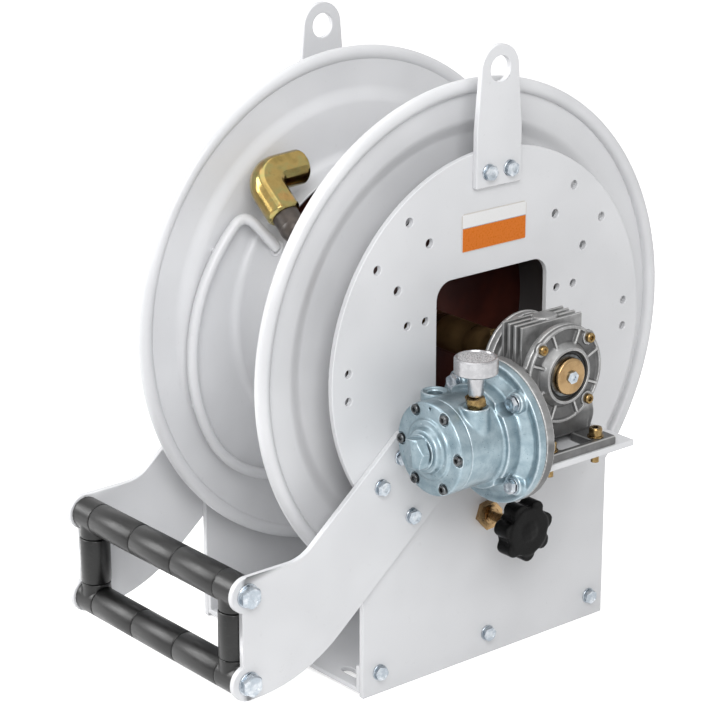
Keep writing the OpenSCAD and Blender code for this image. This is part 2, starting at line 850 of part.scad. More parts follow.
module roller_rods() {
  color(steel) for (z = [guide_hi, guide_lo])
    translate([-plate_x, -guide_y, axis_h - z]) rotate([0, 90, 0]) difference() {
      cylinder(h = frame_w, r = rod_r);
      for (h = [-cut, frame_w - rod_bolt_len - tip_room])
        translate([0, 0, h]) cylinder(h = rod_bolt_len + tip_room + cut, r = rod_bolt_r + fit_play);
    }
  color(steel) for (s = [-1, 1])
    translate([s * side_roller_x, -guide_y, side_rod_low])
      cylinder(h = side_rod_high - side_rod_low, r = side_rod_r);
}
side_rod_high = axis_h - guide_hi - rod_r - tip_room;
side_rod_low = axis_h - guide_lo + rod_r + tip_room;

// A corner sleeve on a roller rod, with a stub that points along dir
module corner(z, dir) {
  translate([0, -guide_y, axis_h - z]) difference() {
    union() {
      translate([plate_x - corner_len, 0, 0]) rotate([0, 90, 0]) cylinder(h = corner_len, r = roller_r);
      translate([side_roller_x, 0, 0]) rotate([90 - 90 * dir, 0, 0]) cylinder(h = stub_len, r = stub_r);
    }
    translate([plate_x - corner_len - cut, 0, 0]) rotate([0, 90, 0])
      cylinder(h = corner_len + 2 * cut, r = rod_r + fit_play);
    translate([side_roller_x, 0, 0]) rotate([90 - 90 * dir, 0, 0])
      cylinder(h = stub_len + cut, r = side_rod_r + fit_play);
    // Room for the end of the next roller, which the stub reaches past
    translate([plate_x - 2 * corner_len, 0, 0]) rotate([0, 90, 0])
      cylinder(h = corner_len - roller_gap / 2, r = roller_r + roller_gap);
  }
}

module guide_corners() {
  color(dark_plastic) both_sides() {
    corner(guide_hi, -1);
    corner(guide_lo, 1);
  }
}

module roller(x, z) {
  translate([x - segment / 2 + roller_gap / 2, -guide_y, axis_h - z]) rotate([0, 90, 0]) difference() {
    cylinder(h = segment - roller_gap, r = roller_r);
    translate([0, 0, -cut]) cylinder(h = segment + 2 * cut, r = rod_r + roller_play);
  }
}

module side_roller(s) {
  low = axis_h - guide_lo + stub_len + roller_gap;
  high = axis_h - guide_hi - stub_len - roller_gap;
  translate([s * side_roller_x, -guide_y, low]) difference() {
    cylinder(h = high - low, r = side_roller_r);
    translate([0, 0, -cut]) cylinder(h = high - low + 2 * cut, r = side_rod_r + roller_play);
  }
}

module upper_roller_right() {
  color(dark_plastic) roller(segment, guide_hi);
}
module upper_roller_middle() {
  color(dark_plastic) roller(0, guide_hi);
}
module upper_roller_left() {
  color(dark_plastic) roller(-segment, guide_hi);
}
module lower_roller_right() {
  color(dark_plastic) roller(segment, guide_lo);
}
module lower_roller_middle() {
  color(dark_plastic) roller(0, guide_lo);
}
module lower_roller_left() {
  color(dark_plastic) roller(-segment, guide_lo);
}
module side_roller_right() {
  color(dark_plastic) side_roller(1);
}
module side_roller_left() {
  color(dark_plastic) side_roller(-1);
}

// ---- Rating plate and brake ----

module rating_plate() {
  color("orange") upright(plate_x, label_t) translate([0, label_z])
    square([label_w, label_h], center = true);
}

module brake_bush() {
  color(zinc) at_right(plate_x, -brake_y, -brake_z) difference() {
    union() {
      hexagon(bush_af, bush_len);
      translate([0, 0, -plate_t]) cylinder(h = plate_t, r = bush_collar_r - fit_play);
    }
    translate([0, 0, -plate_t - cut])
      cylinder(h = plate_t + bush_len + 2 * cut, r = brake_r + roller_play);
  }
}

module brake_pad() {
  color(dark_plastic) at_right(pad_face, -brake_y, -brake_z) difference() {
    union() {
      cylinder(h = pad_lining, r = pad_r);
      translate([0, 0, pad_lining]) cylinder(h = pad_back, r = pad_back_r);
    }
    translate([0, 0, pad_lining]) cylinder(h = pad_back + cut, r = brake_pin_r + roller_play);
  }
}

module brake_screw() {
  color(steel) at_right(pad_end + brake_stop, -brake_y, -brake_z) {
    translate([0, 0, -pad_back]) cylinder(h = pad_back, r = brake_pin_r);
    cylinder(h = knob_face - knob_wall - tip_room - pad_end - brake_stop, r = brake_r);
  }
}

module brake_knob() {
  color(dark_plastic) at_right(knob_in, -brake_y, -brake_z) difference() {
    union() {
      cylinder(h = knob_hub, r = knob_hub_r);
      translate([0, 0, knob_hub]) cylinder(h = knob_t, r = knob_core_r);
      for (i = [0 : lobe_n - 1])
        rotate(i * 360 / lobe_n) translate([knob_r - lobe_r, 0, knob_hub])
          cylinder(h = knob_t, r = lobe_r);
    }
    translate([0, 0, -cut]) cylinder(h = knob_face - knob_in - knob_wall + cut, r = brake_r + fit_play);
  }
}

// ---- Gearbox ----

module at_foot_screws() {
  for (sx = [-1, 1], sy = [-1, 1])
    translate([gear_x + sx * foot_screw_x, sy * foot_screw_y, axis_h - foot_z]) children();
}

module at_cover_screws() {
  for (y = [-1, 1], z = [-1, 1])
    at_right(0, y * cover_screw, z * cover_screw) children();
}

module gearbox_housing() {
  first = case_in + case_rim;
  pitch = (case_w - 2 * case_rim - fin_t) / (fin_n + 1);
  color(alloy) difference() {
    union() {
      round_x(case_in, case_out, case_r);
      for (x = [case_in, case_out - case_rim])
        round_x(x, x + case_rim, cover_r);
      for (i = [1 : fin_n])
        intersection() {
          round_x(first + i * pitch, first + i * pitch + fin_t, fin_r);
          translate([0, -fin_r - cut, axis_h]) cube([2 * gear_x, fin_r * 2, fin_r + cut]);
        }
      round_y(-worm_half, worm_half, worm_case_r);
      translate([gear_x - block_w / 2, -block_half, axis_h - foot_z + foot_t])
        cube([block_w, 2 * block_half, foot_z - foot_t]);
      round_y(adapter_y, -worm_half, motor_flange_r);
      // Oil filler boss on top
      translate([gear_x, 0, axis_h]) cylinder(h = fin_r + filler_h, r = filler_r);
    }
    round_x(case_in - cut, case_out + cut, bearing_r + fit_play);
    round_x(gear_x - wheel_w / 2 - wheel_room, gear_x + wheel_w / 2 + wheel_room, wheel_r + wheel_room);
    round_y(adapter_y - cut, worm_seat, worm_bearing_r + fit_play);
    at_cover_screws() cylinder(h = 2 * gear_x, r = cover_screw_r + fit_play);
    at_flange_bolts() cylinder(h = 4 * motor_r, r = bolt_hole_r, center = true);
  }
}

// The mounting flanges' bolt places, with Z along -Y from the face between the flanges
module at_flange_bolts() {
  for (i = [0 : 3])
    translate([gear_x, adapter_y, worm_z]) rotate([90, 0, 0]) rotate(45 + 90 * i)
      translate([motor_pcd_r, 0, 0]) children();
}

module gearbox_feet() {
  color(alloy) difference() {
    union() {
      for (s = [-1, 1])
        translate([gear_x - foot_w / 2, s > 0 ? foot_in : -foot_in - foot_d, axis_h - foot_z])
          cube([foot_w, foot_d, foot_t]);
      for (s = [-1, 1])
        translate([gear_x + s * (foot_w - foot_bar) / 2, 0, axis_h - foot_z + foot_t / 2])
          cube([foot_bar, 2 * (foot_in + cut), foot_t], center = true);
    }
    at_foot_screws() translate([0, 0, -cut]) cylinder(h = foot_t + 2 * cut, r = bolt_hole_r);
    // Room for the worm case between the two ends
    translate([gear_x - foot_split, -foot_w, axis_h - foot_z - cut])
      cube([2 * foot_split, 2 * foot_w, foot_t + 2 * cut]);
  }
}

module outer_cover() {
  color(alloy) difference() {
    union() {
      round_x(case_out, case_out + cover_t, cover_r);
      round_x(case_out, boss_face, boss_r);
      for (i = [0 : rib_n - 1])
        at_right(case_out, 0, 0) rotate((i + 0.5) * 360 / rib_n)
          translate([boss_r - cut, -rib_t / 2, 0])
            cube([cover_r - rib_t - boss_r + cut, rib_t, cover_t + rib_h]);
    }
    round_x(case_out - cut, boss_face + cut, seal_r + fit_play);
    at_cover_screws() cylinder(h = 2 * gear_x, r = cover_screw_r + hole_play);
  }
}

module inner_cover() {
  color(alloy) difference() {
    round_x(inner_face, case_in, cover_r);
    round_x(inner_face - cut, case_in + cut, seal_r + fit_play);
    at_cover_screws() cylinder(h = 2 * gear_x, r = cover_screw_r + hole_play);
  }
}

module gearbox_bearings() {
  color(steel) {
    ring_x(case_in, case_in + bearing_w, bearing_r, hollow_r + shaft_play);
    ring_x(case_out - bearing_w, case_out, bearing_r, hollow_r + shaft_play);
  }
}

module worm_bearings() {
  color(steel) {
    ring_y(-worm_half, -worm_half + bearing_w, worm_bearing_r, worm_shaft_r + shaft_play);
    ring_y(worm_seat - bearing_w, worm_seat, worm_bearing_r, worm_shaft_r + shaft_play);
  }
}

module oil_seals() {
  color(dark_plastic) {
    ring_x(inner_face, case_in, seal_r, hollow_r + roller_play);
    ring_x(case_out, boss_face, seal_r, hollow_r + roller_play);
  }
}

module cover_screws() {
  color(zinc) at_cover_screws() {
    translate([0, 0, case_out + cover_t]) cylinder(h = screw_head, r = screw_head_r);
    translate([0, 0, case_out - case_rim + shaft_gap])
      cylinder(h = case_rim - shaft_gap + cover_t, r = cover_screw_r);
    translate([0, 0, inner_face - screw_head]) cylinder(h = screw_head, r = screw_head_r);
    translate([0, 0, inner_face]) cylinder(h = case_rim - shaft_gap + cover_t, r = cover_screw_r);
  }
}

module foot_screws() {
  color(zinc) at_foot_screws() {
    translate([0, 0, foot_t]) cylinder(h = washer_t, r = washer_r);
    translate([0, 0, foot_t + washer_t]) cylinder(h = foot_head, r = foot_head_r);
    translate([0, 0, -plate_t - screw_tip]) cylinder(h = foot_t + plate_t + screw_tip, r = bolt_r);
  }
}

// ---- Air motor and silencer ----

module port_boss(s) {
  translate([gear_x + s * port_dx, -port_y, worm_z]) cylinder(h = centre_dist - port_z, r = port_r);
}

module port_bore(s) {
  translate([gear_x + s * port_dx, -port_y, axis_h - port_z - port_depth])
    cylinder(h = port_depth + cut, r = port_thread_r);
}

module motor_body() {
  color("#8fa0aa") difference() {
    union() {
      round_y(motor_end, motor_y, motor_r);
      round_y(motor_y, adapter_y, motor_flange_r);
      port_boss(-1);
      port_boss(1);
      at_flange_bolts() translate([0, 0, motor_flange_t - cut])
        cylinder(h = flange_pad_t + cut, r = flange_pad_r);
    }
    round_y(motor_end - cut, motor_end + rotor_len + 2 * rotor_gap, chamber_r);
    round_y(motor_end, adapter_y + cut, rotor_shaft_r + shaft_play);
    port_bore(-1);
    port_bore(1);
    at_flange_bolts() cylinder(h = 6 * motor_flange_t, r = bolt_hole_r, center = true);
    at_cap_screws() translate([0, 0, -cap_screw_len - tip_room])
      cylinder(h = cap_screw_len + tip_room + cut, r = cover_screw_r + fit_play);
  }
}

module at_cap_screws() {
  for (i = [0 : 5])
    translate([gear_x, motor_end, worm_z]) rotate([90, 0, 0]) rotate(60 * i)
      translate([cap_bolt_r, 0, 0]) children();
}

module motor_end_cap() {
  color("#8fa0aa") difference() {
    union() {
      round_y(cap_face, motor_end, motor_cap_r);
      round_y(boss_y, cap_face, cap_boss_r);
    }
    round_y(cap_face - tip_room - shaft_gap, motor_end + cut, rotor_shaft_r + shaft_play);
    at_cap_screws() translate([0, 0, -cut])
      cylinder(h = motor_cap_t + 2 * cut, r = cover_screw_r + hole_play);
  }
}

module motor_cap_screws() {
  color(steel) at_cap_screws() {
    translate([0, 0, motor_cap_t]) cylinder(h = screw_head, r = screw_head_r);
    translate([0, 0, -cap_screw_len]) cylinder(h = cap_screw_len + motor_cap_t, r = cover_screw_r);
  }
}

module motor_flange_screws() {
  color(steel) at_flange_bolts() translate([0, 0, motor_flange_t + flange_pad_t])
    plate_bolt(motor_flange_t + flange_pad_t + adapter_t);
}

module motor_plug() {
  color("#8fa0aa") translate([gear_x, boss_y, worm_z]) rotate([90, 0, 0]) {
    cylinder(h = plug_collar_t, r = plug_collar_r);
    hexagon(plug_af, plug_t);
  }
}

module silencer_base() {
  color("#b79a55") translate([gear_x + port_dx, -port_y, axis_h - port_z]) {
    hexagon(silencer_af, silencer_hex_h);
    translate([0, 0, -port_depth + tip_room])
      cylinder(h = port_depth - tip_room, r = port_thread_r - fit_play);
  }
}

module silencer() {
  base = axis_h - port_z + silencer_hex_h;
  top = axis_h + silencer_top;
  color("silver") translate([gear_x + port_dx, -port_y, 0]) {
    translate([0, 0, base]) cylinder(h = top - disc_t - base, r = neck_r);
    translate([0, 0, top - disc_t]) cylinder(h = disc_t, r = disc_r);
  }
}

// ---- Left bearing and swivel inlet ----

module bearing_housing() {
  color(alloy) difference() {
    union() {
      round_x(-plate_x - housing_t, -plate_x, housing_r);
      round_x(-housing_face, -plate_x, barrel_r);
    }
    round_x(-housing_face - cut, -plate_x + cut, left_bearing_r + fit_play);
    for (a = [45 : 90 : 315])
      at_right(-housing_face - cut, housing_bolt_r * cos(a), housing_bolt_r * sin(a))
        cylinder(h = housing_face, r = bolt_hole_r);
  }
}

module left_bearing() {
  color(steel) ring_x(-housing_face, -plate_x, left_bearing_r, shaft_r + shaft_play);
}

module swivel_body() {
  color("#b79a55") difference() {
    union() {
      round_x(-swivel_face, -housing_face, swivel_r);
      at_right(-swivel_face + collar_len, 0, 0) hexagon(swivel_r * 2, hex_len);
    }
    round_x(-swivel_face + inlet_thread_len, -housing_face + cut, shaft_r + roller_play);
    round_x(-swivel_face - cut, -housing_face, inlet_thread_r);
  }
}

// ---- Drum ----

module flange_profile() {
  r0 = hub_bore;
  r1 = step_r - step_w / 2;
  r2 = step_r + step_w / 2;
  r3 = flange_r - rim_bead / 2;
  polygon([
    [r0, disc_in], [r1, disc_in], [r2, flange_in], [r3, flange_in],
    [r3, flange_out], [r2, flange_out], [r1, disc_out], [r0, disc_out]
  ]);
  translate([r3, drum_w / 2 - rim_bead / 2]) circle(rim_bead / 2, $fn = 32);
}

module right_flange() {
  color(paint) translate([0, 0, axis_h]) rotate([0, 90, 0]) rotate_extrude() flange_profile();
}

module left_flange() {
  mirror([1, 0, 0]) right_flange();
}

module hub() {
  color(paint) difference() {
    ring_x(-disc_in, disc_in, hub_r, hub_bore);
    translate([web_x - hub_slot_gap - hub_slot_w / 2, 0, axis_h]) rotate([hub_slot_angle - 90, 0, 0])
      linear_extrude(2 * hub_r) rounded_rect(hub_slot_w, hub_slot_len, hub_slot_corner);
    bar_between(inlet_point(pipe_bend), [pipe_x, 0, axis_h], pipe_r + pipe_room);
  }
}

module left_web() {
  color("#5b2a22") ring_x(-disc_in, -disc_in + web_t, hub_bore - fit_play, shaft_r + fit_play);
}

module driving_web() {
  color("#5b2a22") {
    ring_x(web_x, web_x + web_t, hub_bore - fit_play, shaft_r + fit_play);
    ring_x(web_x + web_t, web_x + web_t + web_boss_t, web_boss_r, shaft_r + fit_play);
  }
}

bar_x = -disc_in + bar_gap + bar_r;
bar_centre = [-bar_arc_y, -bar_arc_z];
bar_low_centre = bar_centre + (bar_arc_r - bar_low_r) * [cos(bar_turn), sin(bar_turn)];
function bar_point(a) = a < bar_turn
  ? bar_centre + bar_arc_r * [cos(a), sin(a)]
  : bar_low_centre + bar_low_r * [cos(a), sin(a)];
function bar_foot(a) = (hub_r - bar_r) * [cos(a), sin(a)];

// A round bar between two points
module bar_between(p, q, r) {
  d = q - p;
  translate(p) rotate([0, acos(d[2] / norm(d)), atan2(d[1], d[0])]) cylinder(h = norm(d), r = r);
}

// An arc of the bar from angle a to angle b
module bar_arc(centre, arc_r, a, b) {
  translate([bar_x, centre[0], axis_h + centre[1]]) rotate([90, 0, 90])
    rotate(a) rotate_extrude(angle = b - a) translate([arc_r, 0]) circle(bar_r, $fn = 32);
}

function bar_place(a) = [bar_x, bar_point(a)[0], axis_h + bar_point(a)[1]];

// The straight leg from the arc's end into the hub's surface
module bar_leg(a, foot_a) {
  q = bar_foot(foot_a);
  bar_between(bar_place(a), [bar_x + bar_reach, q[0], axis_h + q[1]], bar_r);
}

module guide_bar() {
  color(paint) difference() {
    union() {
      bar_arc(bar_centre, bar_arc_r, bar_start, bar_turn);
      bar_arc(bar_low_centre, bar_low_r, bar_turn, bar_end);
      bar_leg(bar_start, bar_foot_top);
      bar_leg(bar_end, bar_foot_low);
      for (a = [bar_start, bar_turn, bar_end])
        translate(bar_place(a)) sphere(bar_r * bend_bulge);
      for (a = [bar_start + standoff_in, (bar_start + bar_end) / 2, bar_end - standoff_in])
        translate(bar_place(a)) rotate([0, -90, 0])
          cylinder(h = bar_gap + bar_r, r = standoff_r);
    }
    round_x(-disc_in - cut, 0, hub_r + fit_play);
  }
}

pipe_x = -elbow_x + pipe_bend * cos(elbow_tilt);

module drum_shaft() {
  shoulder = hollow_in - shaft_gap;
  color("#6d5a3a") difference() {
    union() {
      round_x(-swivel_face + inlet_thread_len + shaft_gap, shoulder, shaft_r);
      round_x(shoulder - cut, hollow_out, shaft_end_r);
    }
    // Waterway from the swivel to the feed pipe
    round_x(-swivel_face, pipe_x + pipe_r, pipe_r - pipe_wall);
  }
}

module in_elbow_frame() {
  translate([-elbow_x, -elbow_y, axis_h + elbow_z])
    rotate([0, elbow_tilt, 0]) rotate([elbow_turn, 0, 0]) children();
}

function inlet_point(d) =
  [-elbow_x + d * cos(elbow_tilt), -elbow_y, axis_h + elbow_z - d * sin(elbow_tilt)];

// The pipe's run: out of the elbow, round the bend and in to the drum shaft
module pipe_run(r, from) {
  bend = inlet_point(pipe_bend);
  bar_between(inlet_point(from), bend, r);
  translate(bend) sphere(r * bend_bulge);
  bar_between(bend, [pipe_x, 0, axis_h], r);
}

module pipe_bore() {
  bore = pipe_r - pipe_wall;
  bar_between(inlet_point(inlet_len - socket_len - fit_gap), inlet_point(pipe_bend + bore / 2), bore);
  bar_between(inlet_point(pipe_bend), [pipe_x, 0, axis_h], bore - fit_play);
}

module feed_pipe() {
  color("#3a3a3a") difference() {
    pipe_run(pipe_r, inlet_len - socket_len);
    pipe_bore();
    round_x(-hub_r, hub_r, shaft_r);
  }
}

// The elbow's round run of radius r: two legs and the bend between them
module elbow_run(r, past) {
  translate([elbow_bend, elbow_bend, 0]) rotate(180) rotate_extrude(angle = 90)
    translate([elbow_bend, 0]) circle(r);
  translate([elbow_bend, 0, 0]) rotate([0, 90, 0]) cylinder(h = inlet_len + past - elbow_bend, r = r);
  translate([0, elbow_bend, 0]) rotate([-90, 0, 0]) cylinder(h = outlet_len + past - elbow_bend, r = r);
}

module elbow() {
  color(zinc) in_elbow_frame() difference() {
    intersection() {
      elbow_run(elbow_r, 0);
      cube([4 * inlet_len, 4 * outlet_len, elbow_flat], center = true);
    }
    elbow_run(pipe_r - pipe_wall, cut);
    translate([inlet_len - socket_len, 0, 0]) rotate([0, 90, 0])
      cylinder(h = socket_len + cut, r = pipe_r + fit_play);
    translate([0, outlet_len - outlet_thread_len, 0]) rotate([-90, 0, 0])
      cylinder(h = outlet_thread_len + cut, r = outlet_thread_r);
  }
}

module hollow_shaft() {
  color(steel) ring_x(hollow_in, hollow_out, hollow_r, shaft_end_r + fit_play);
}

module worm_wheel() {
  color("#b79a55") ring_x(gear_x - wheel_w / 2, gear_x + wheel_w / 2, wheel_r, hollow_r + fit_play);
}

module shaft_cap() {
  color(zinc) {
    round_x(hollow_out, hollow_out + cap_t, cap_r);
    round_x(hollow_out + cap_t, hollow_out + cap_t + cap_screw_h, cap_screw_r);
  }
}

// ---- Rotor and worm ----

module motor_rotor() {
  color(steel) {
    round_y(motor_end + rotor_gap, motor_end + rotor_gap + rotor_len, rotor_r);
    round_y(cap_face - tip_room, -worm_half + spline_len, rotor_shaft_r);
  }
}

module worm() {
  color(steel) difference() {
    union() {
      round_y(-worm_half + shaft_gap, worm_seat - shaft_gap, worm_shaft_r);
      round_y(-worm_len / 2, worm_len / 2, worm_r);
    }
    round_y(-worm_half, -worm_half + spline_len + shaft_gap, rotor_shaft_r + fit_play);
  }
}

base_pan();
right_side_plate();
left_side_plate();
gearbox_shelf();
right_lifting_eye();
left_lifting_eye();
right_arm();
left_arm();
base_bolts();
plate_bolts();
rod_bolts();
roller_rods();
guide_corners();
rating_plate();
brake_bush();
gearbox_housing();
outer_cover();
inner_cover();
gearbox_feet();
gearbox_bearings();
worm_bearings();
oil_seals();
cover_screws();
foot_screws();
motor_body();
motor_end_cap();
motor_cap_screws();
motor_flange_screws();
motor_plug();
silencer_base();
silencer();
bearing_housing();
left_bearing();
swivel_body();
hub();
left_flange();
right_flange();
left_web();
driving_web();
guide_bar();
drum_shaft();
feed_pipe();
elbow();
hollow_shaft();
worm_wheel();
shaft_cap();
motor_rotor();
worm();
upper_roller_right();
upper_roller_middle();
upper_roller_left();
lower_roller_right();
lower_roller_middle();
lower_roller_left();
side_roller_right();
side_roller_left();
brake_pad();
brake_screw();
brake_knob();
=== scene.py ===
from math import cos, pi, radians, sin, sqrt
import bpy
from mathutils import Matrix, Vector


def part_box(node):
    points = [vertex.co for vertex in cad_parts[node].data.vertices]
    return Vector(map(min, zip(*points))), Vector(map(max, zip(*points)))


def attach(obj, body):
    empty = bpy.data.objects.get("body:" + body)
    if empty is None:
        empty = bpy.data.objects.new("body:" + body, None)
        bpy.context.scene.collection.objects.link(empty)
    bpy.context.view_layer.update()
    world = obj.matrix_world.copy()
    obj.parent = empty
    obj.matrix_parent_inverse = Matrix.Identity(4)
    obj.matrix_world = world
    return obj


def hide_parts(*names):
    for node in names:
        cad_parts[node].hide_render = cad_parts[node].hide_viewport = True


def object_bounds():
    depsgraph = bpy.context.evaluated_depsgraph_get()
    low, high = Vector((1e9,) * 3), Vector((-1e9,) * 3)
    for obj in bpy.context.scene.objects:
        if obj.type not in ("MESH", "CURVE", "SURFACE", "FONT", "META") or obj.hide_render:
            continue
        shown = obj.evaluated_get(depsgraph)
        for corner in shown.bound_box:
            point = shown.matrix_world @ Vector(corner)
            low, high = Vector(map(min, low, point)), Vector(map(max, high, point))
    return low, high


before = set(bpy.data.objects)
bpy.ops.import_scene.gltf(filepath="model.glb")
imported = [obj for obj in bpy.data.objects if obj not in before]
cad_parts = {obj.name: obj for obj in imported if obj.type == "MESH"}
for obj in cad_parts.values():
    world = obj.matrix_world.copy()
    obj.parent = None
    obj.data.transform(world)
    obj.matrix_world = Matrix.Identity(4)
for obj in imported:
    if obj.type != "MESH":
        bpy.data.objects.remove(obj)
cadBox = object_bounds()
print("reel frame loaded")

mm = 0.001
axisHigh = 321        # height of the drum axis, mm
plateFace = 129       # outer faces of the side plates on X, mm
armFace = 135         # outer faces of the arms and eyes on those plates, mm
fit = 0.02            # bores in castings are this much larger than what they hold, mm
onAxis = (0, 0, axisHigh)
fourSigns = [(-1, -1), (-1, 1), (1, -1), (1, 1)]
mirrorX = Matrix.Scale(-1, 4, (1, 0, 0))
mirrorZ = Matrix.Scale(-1, 4, (0, 0, 1))
upright = Matrix.Rotation(-pi / 2, 4, "Y")
scene = bpy.context.scene


# Small helpers for working by operator

def nothingSelected():
    if bpy.context.object and bpy.context.object.mode != "OBJECT":
        bpy.ops.object.mode_set(mode="OBJECT")
    bpy.ops.object.select_all(action="DESELECT")


def selectOnly(obj):
    nothingSelected()
    obj.select_set(True)
    bpy.context.view_layer.objects.active = obj
    return obj


def placeInMesh(obj):
    selectOnly(obj)
    bpy.ops.object.transform_apply(location=True, rotation=True, scale=True)
    return obj


def modify(obj, kind, **settings):
    selectOnly(obj)
    mod = obj.modifiers.new(kind.lower(), kind)
    for key, value in settings.items():
        setattr(mod, key, value)
    bpy.ops.object.modifier_apply(modifier=mod.name)
    return obj


def editMesh(obj, *steps):
    # each step is an operator name with its settings, run on all of the mesh
    selectOnly(obj)
    bpy.ops.object.mode_set(mode="EDIT")
    bpy.ops.mesh.select_all(action="SELECT")
    for name, settings in steps:
        getattr(bpy.ops.mesh, name)(**settings)
    bpy.ops.object.mode_set(mode="OBJECT")
    return obj


def primitive(kind, **settings):
    nothingSelected()
    getattr(bpy.ops.mesh, "primitive_" + kind + "_add")(**settings)
    return placeInMesh(bpy.context.object)


def rod(start, end, radius, verts=64, endRadius=None):
    a, b = Vector(start) * mm, Vector(end) * mm
    turn = Vector((0, 0, 1)).rotation_difference(b - a).to_euler()
    place = {"vertices": verts, "depth": (b - a).length, "location": (a + b) / 2, "rotation": turn}
    if endRadius is None:
        return primitive("cylinder", radius=radius * mm, **place)
    return primitive("cone", radius1=radius * mm, radius2=endRadius * mm, **place)


def block(low, high):
    a, b = Vector(low) * mm, Vector(high) * mm
    return primitive("cube", size=1, location=(a + b) / 2, scale=b - a)


def ball(centre, radius):
    place = Vector(centre) * mm
    return primitive("uv_sphere", segments=48, ring_count=24, radius=radius * mm, location=place)


def turned(stations, axis="X", centre=(0, 0, 0), verts=96, loop=True):
    # a turned shape: a circle extruded and resized from station to station, each (place, radius)
    turn = {"X": (0, pi / 2, 0), "Y": (-pi / 2, 0, 0), "Z": (0, 0, 0)}[axis]
    along = Vector({"X": (1, 0, 0), "Y": (0, 1, 0), "Z": (0, 0, 1)}[axis])
    base = Vector(centre) * mm
    place, radius = stations[0]
    obj = primitive("circle", vertices=verts, radius=radius * mm, location=base + along * place * mm,
                    rotation=turn)
    bpy.ops.object.mode_set(mode="EDIT")
    bpy.ops.mesh.select_mode(type="EDGE")
    bpy.ops.mesh.select_all(action="SELECT")
    for nextPlace, nextRadius in stations[1:] + ([stations[0]] if loop else []):
        step = along * (nextPlace - place) * mm
        bpy.ops.mesh.extrude_edges_move(TRANSFORM_OT_translate={"value": step})
        grow = nextRadius / radius
        bpy.ops.transform.resize(value=[1 if along[i] else grow for i in range(3)],
                                 center_override=base + along * nextPlace * mm)
        place, radius = nextPlace, nextRadius
    bpy.ops.mesh.select_all(action="SELECT")
    bpy.ops.mesh.remove_doubles(threshold=1e-6)
    if not loop:
        bpy.ops.mesh.select_all(action="DESELECT")
        bpy.ops.mesh.select_non_manifold()
        bpy.ops.mesh.edge_face_add()
        bpy.ops.mesh.select_all(action="SELECT")
    bpy.ops.mesh.normals_make_consistent(inside=False)
    bpy.ops.object.mode_set(mode="OBJECT")
    return obj


def tube(points, radius):
    # a round bar swept along points, with closed ends
    nothingSelected()
    bpy.ops.curve.primitive_nurbs_path_add()
    curve = bpy.context.object
    curve.data.splines.clear()
    spline = curve.data.splines.new("POLY")
    spline.points.add(len(points) - 1)
    for knot, point in zip(spline.points, points):
        knot.co = (*(Vector(point) * mm), 1)
    curve.data.bevel_depth = radius * mm
    curve.data.bevel_resolution = 10
    curve.data.use_fill_caps = True
    selectOnly(curve)
    bpy.ops.object.convert(target="MESH")
    return editMesh(bpy.context.object, ("remove_doubles", {"threshold": 1e-6}),
                    ("normals_make_consistent", {"inside": False}))


def around(count, radius, start=0, centre=(0, 0)):
    # places on a circle, each with its angle in degrees
    angles = [start + 360 * i / count for i in range(count)]
    return [(centre[0] + radius * cos(radians(a)), centre[1] + radius * sin(radians(a)), a) for a in angles]


def moved(x, y, z):
    return Matrix.Translation(Vector((x, y, z)) * mm)


def joined(pieces):
    selectOnly(pieces[0])
    for piece in pieces[1:]:
        piece.select_set(True)
    if len(pieces) > 1:
        bpy.ops.object.join()
    return bpy.context.object


def boolean(obj, others, operation):
    for other in others:
        modify(obj, "BOOLEAN", operation=operation, object=other, solver="EXACT")
        bpy.data.objects.remove(other)
    return obj


def cast(parts, cuts=(), voxel=0.9, smooth=4):
    # solids run together and softened, as a casting or a forging is
    obj = joined(parts)
    modify(obj, "REMESH", mode="VOXEL", voxel_size=voxel * mm)
    if cuts:
        knife = boolean(cuts[0], cuts[1:], "UNION")
        boolean(obj, [knife], "DIFFERENCE")
        modify(obj, "REMESH", mode="VOXEL", voxel_size=voxel * mm)
    modify(obj, "SMOOTH", factor=0.5, iterations=smooth)
    return obj


def rounded(obj, width, segments=2, angle=35, slide=True):
    modify(obj, "BEVEL", width=width * mm, segments=segments, limit_method="ANGLE",
           angle_limit=radians(angle), use_clamp_overlap=False, loop_slide=slide)
    return obj


def smoothShade(obj, angle=35):
    selectOnly(obj)
    bpy.ops.object.shade_smooth_by_angle(angle=radians(angle))
    return obj


def flatShade(obj, angle=35):
    # smooth over rounded edges while the flat faces stay flat
    return modify(smoothShade(obj, angle), "WEIGHTED_NORMAL", keep_sharp=True)


def duplicate(obj, matrix):
    twin = obj.copy()
    twin.data = obj.data.copy()
    scene.collection.objects.link(twin)
    twin.data.transform(matrix)
    if matrix.determinant() < 0:
        twin.data.flip_normals()
    return twin


def copies(piece, places):
    made = [duplicate(piece, place) for place in places]
    bpy.data.objects.remove(piece)
    return made


def nodeCopy(node):
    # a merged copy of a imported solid, ready for its edges to be rounded
    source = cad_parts[node]
    obj = bpy.data.objects.new(node, source.data.copy())
    scene.collection.objects.link(obj)
    editMesh(obj, ("remove_doubles", {"threshold": 2e-6}),
             ("dissolve_limited", {"angle_limit": radians(0.8)}),
             ("normals_make_consistent", {"inside": False}))
    obj.data.materials.clear()
    return obj


def done(obj, name, body, slot, look, *nodes):
    obj.name = name
    obj.data.name = name
    obj.data.materials.clear()
    obj.data.materials.append(look)
    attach(obj, body)
    if nodes:
        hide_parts(*nodes)
    return obj


# Materials

def mathNode(operation):
    def combine(self, other):
        return self.graph.add("ShaderNodeMath", {"operation": operation}, {0: self, 1: other})
    return combine


class Wire:
    # one socket of a node, so that sums read as sums
    def __init__(self, graph, socket):
        self.graph, self.socket = graph, socket

    __add__ = mathNode("ADD")
    __sub__ = mathNode("SUBTRACT")
    __mul__ = mathNode("MULTIPLY")
    __pow__ = mathNode("POWER")
    __gt__ = mathNode("GREATER_THAN")
    __lt__ = mathNode("LESS_THAN")


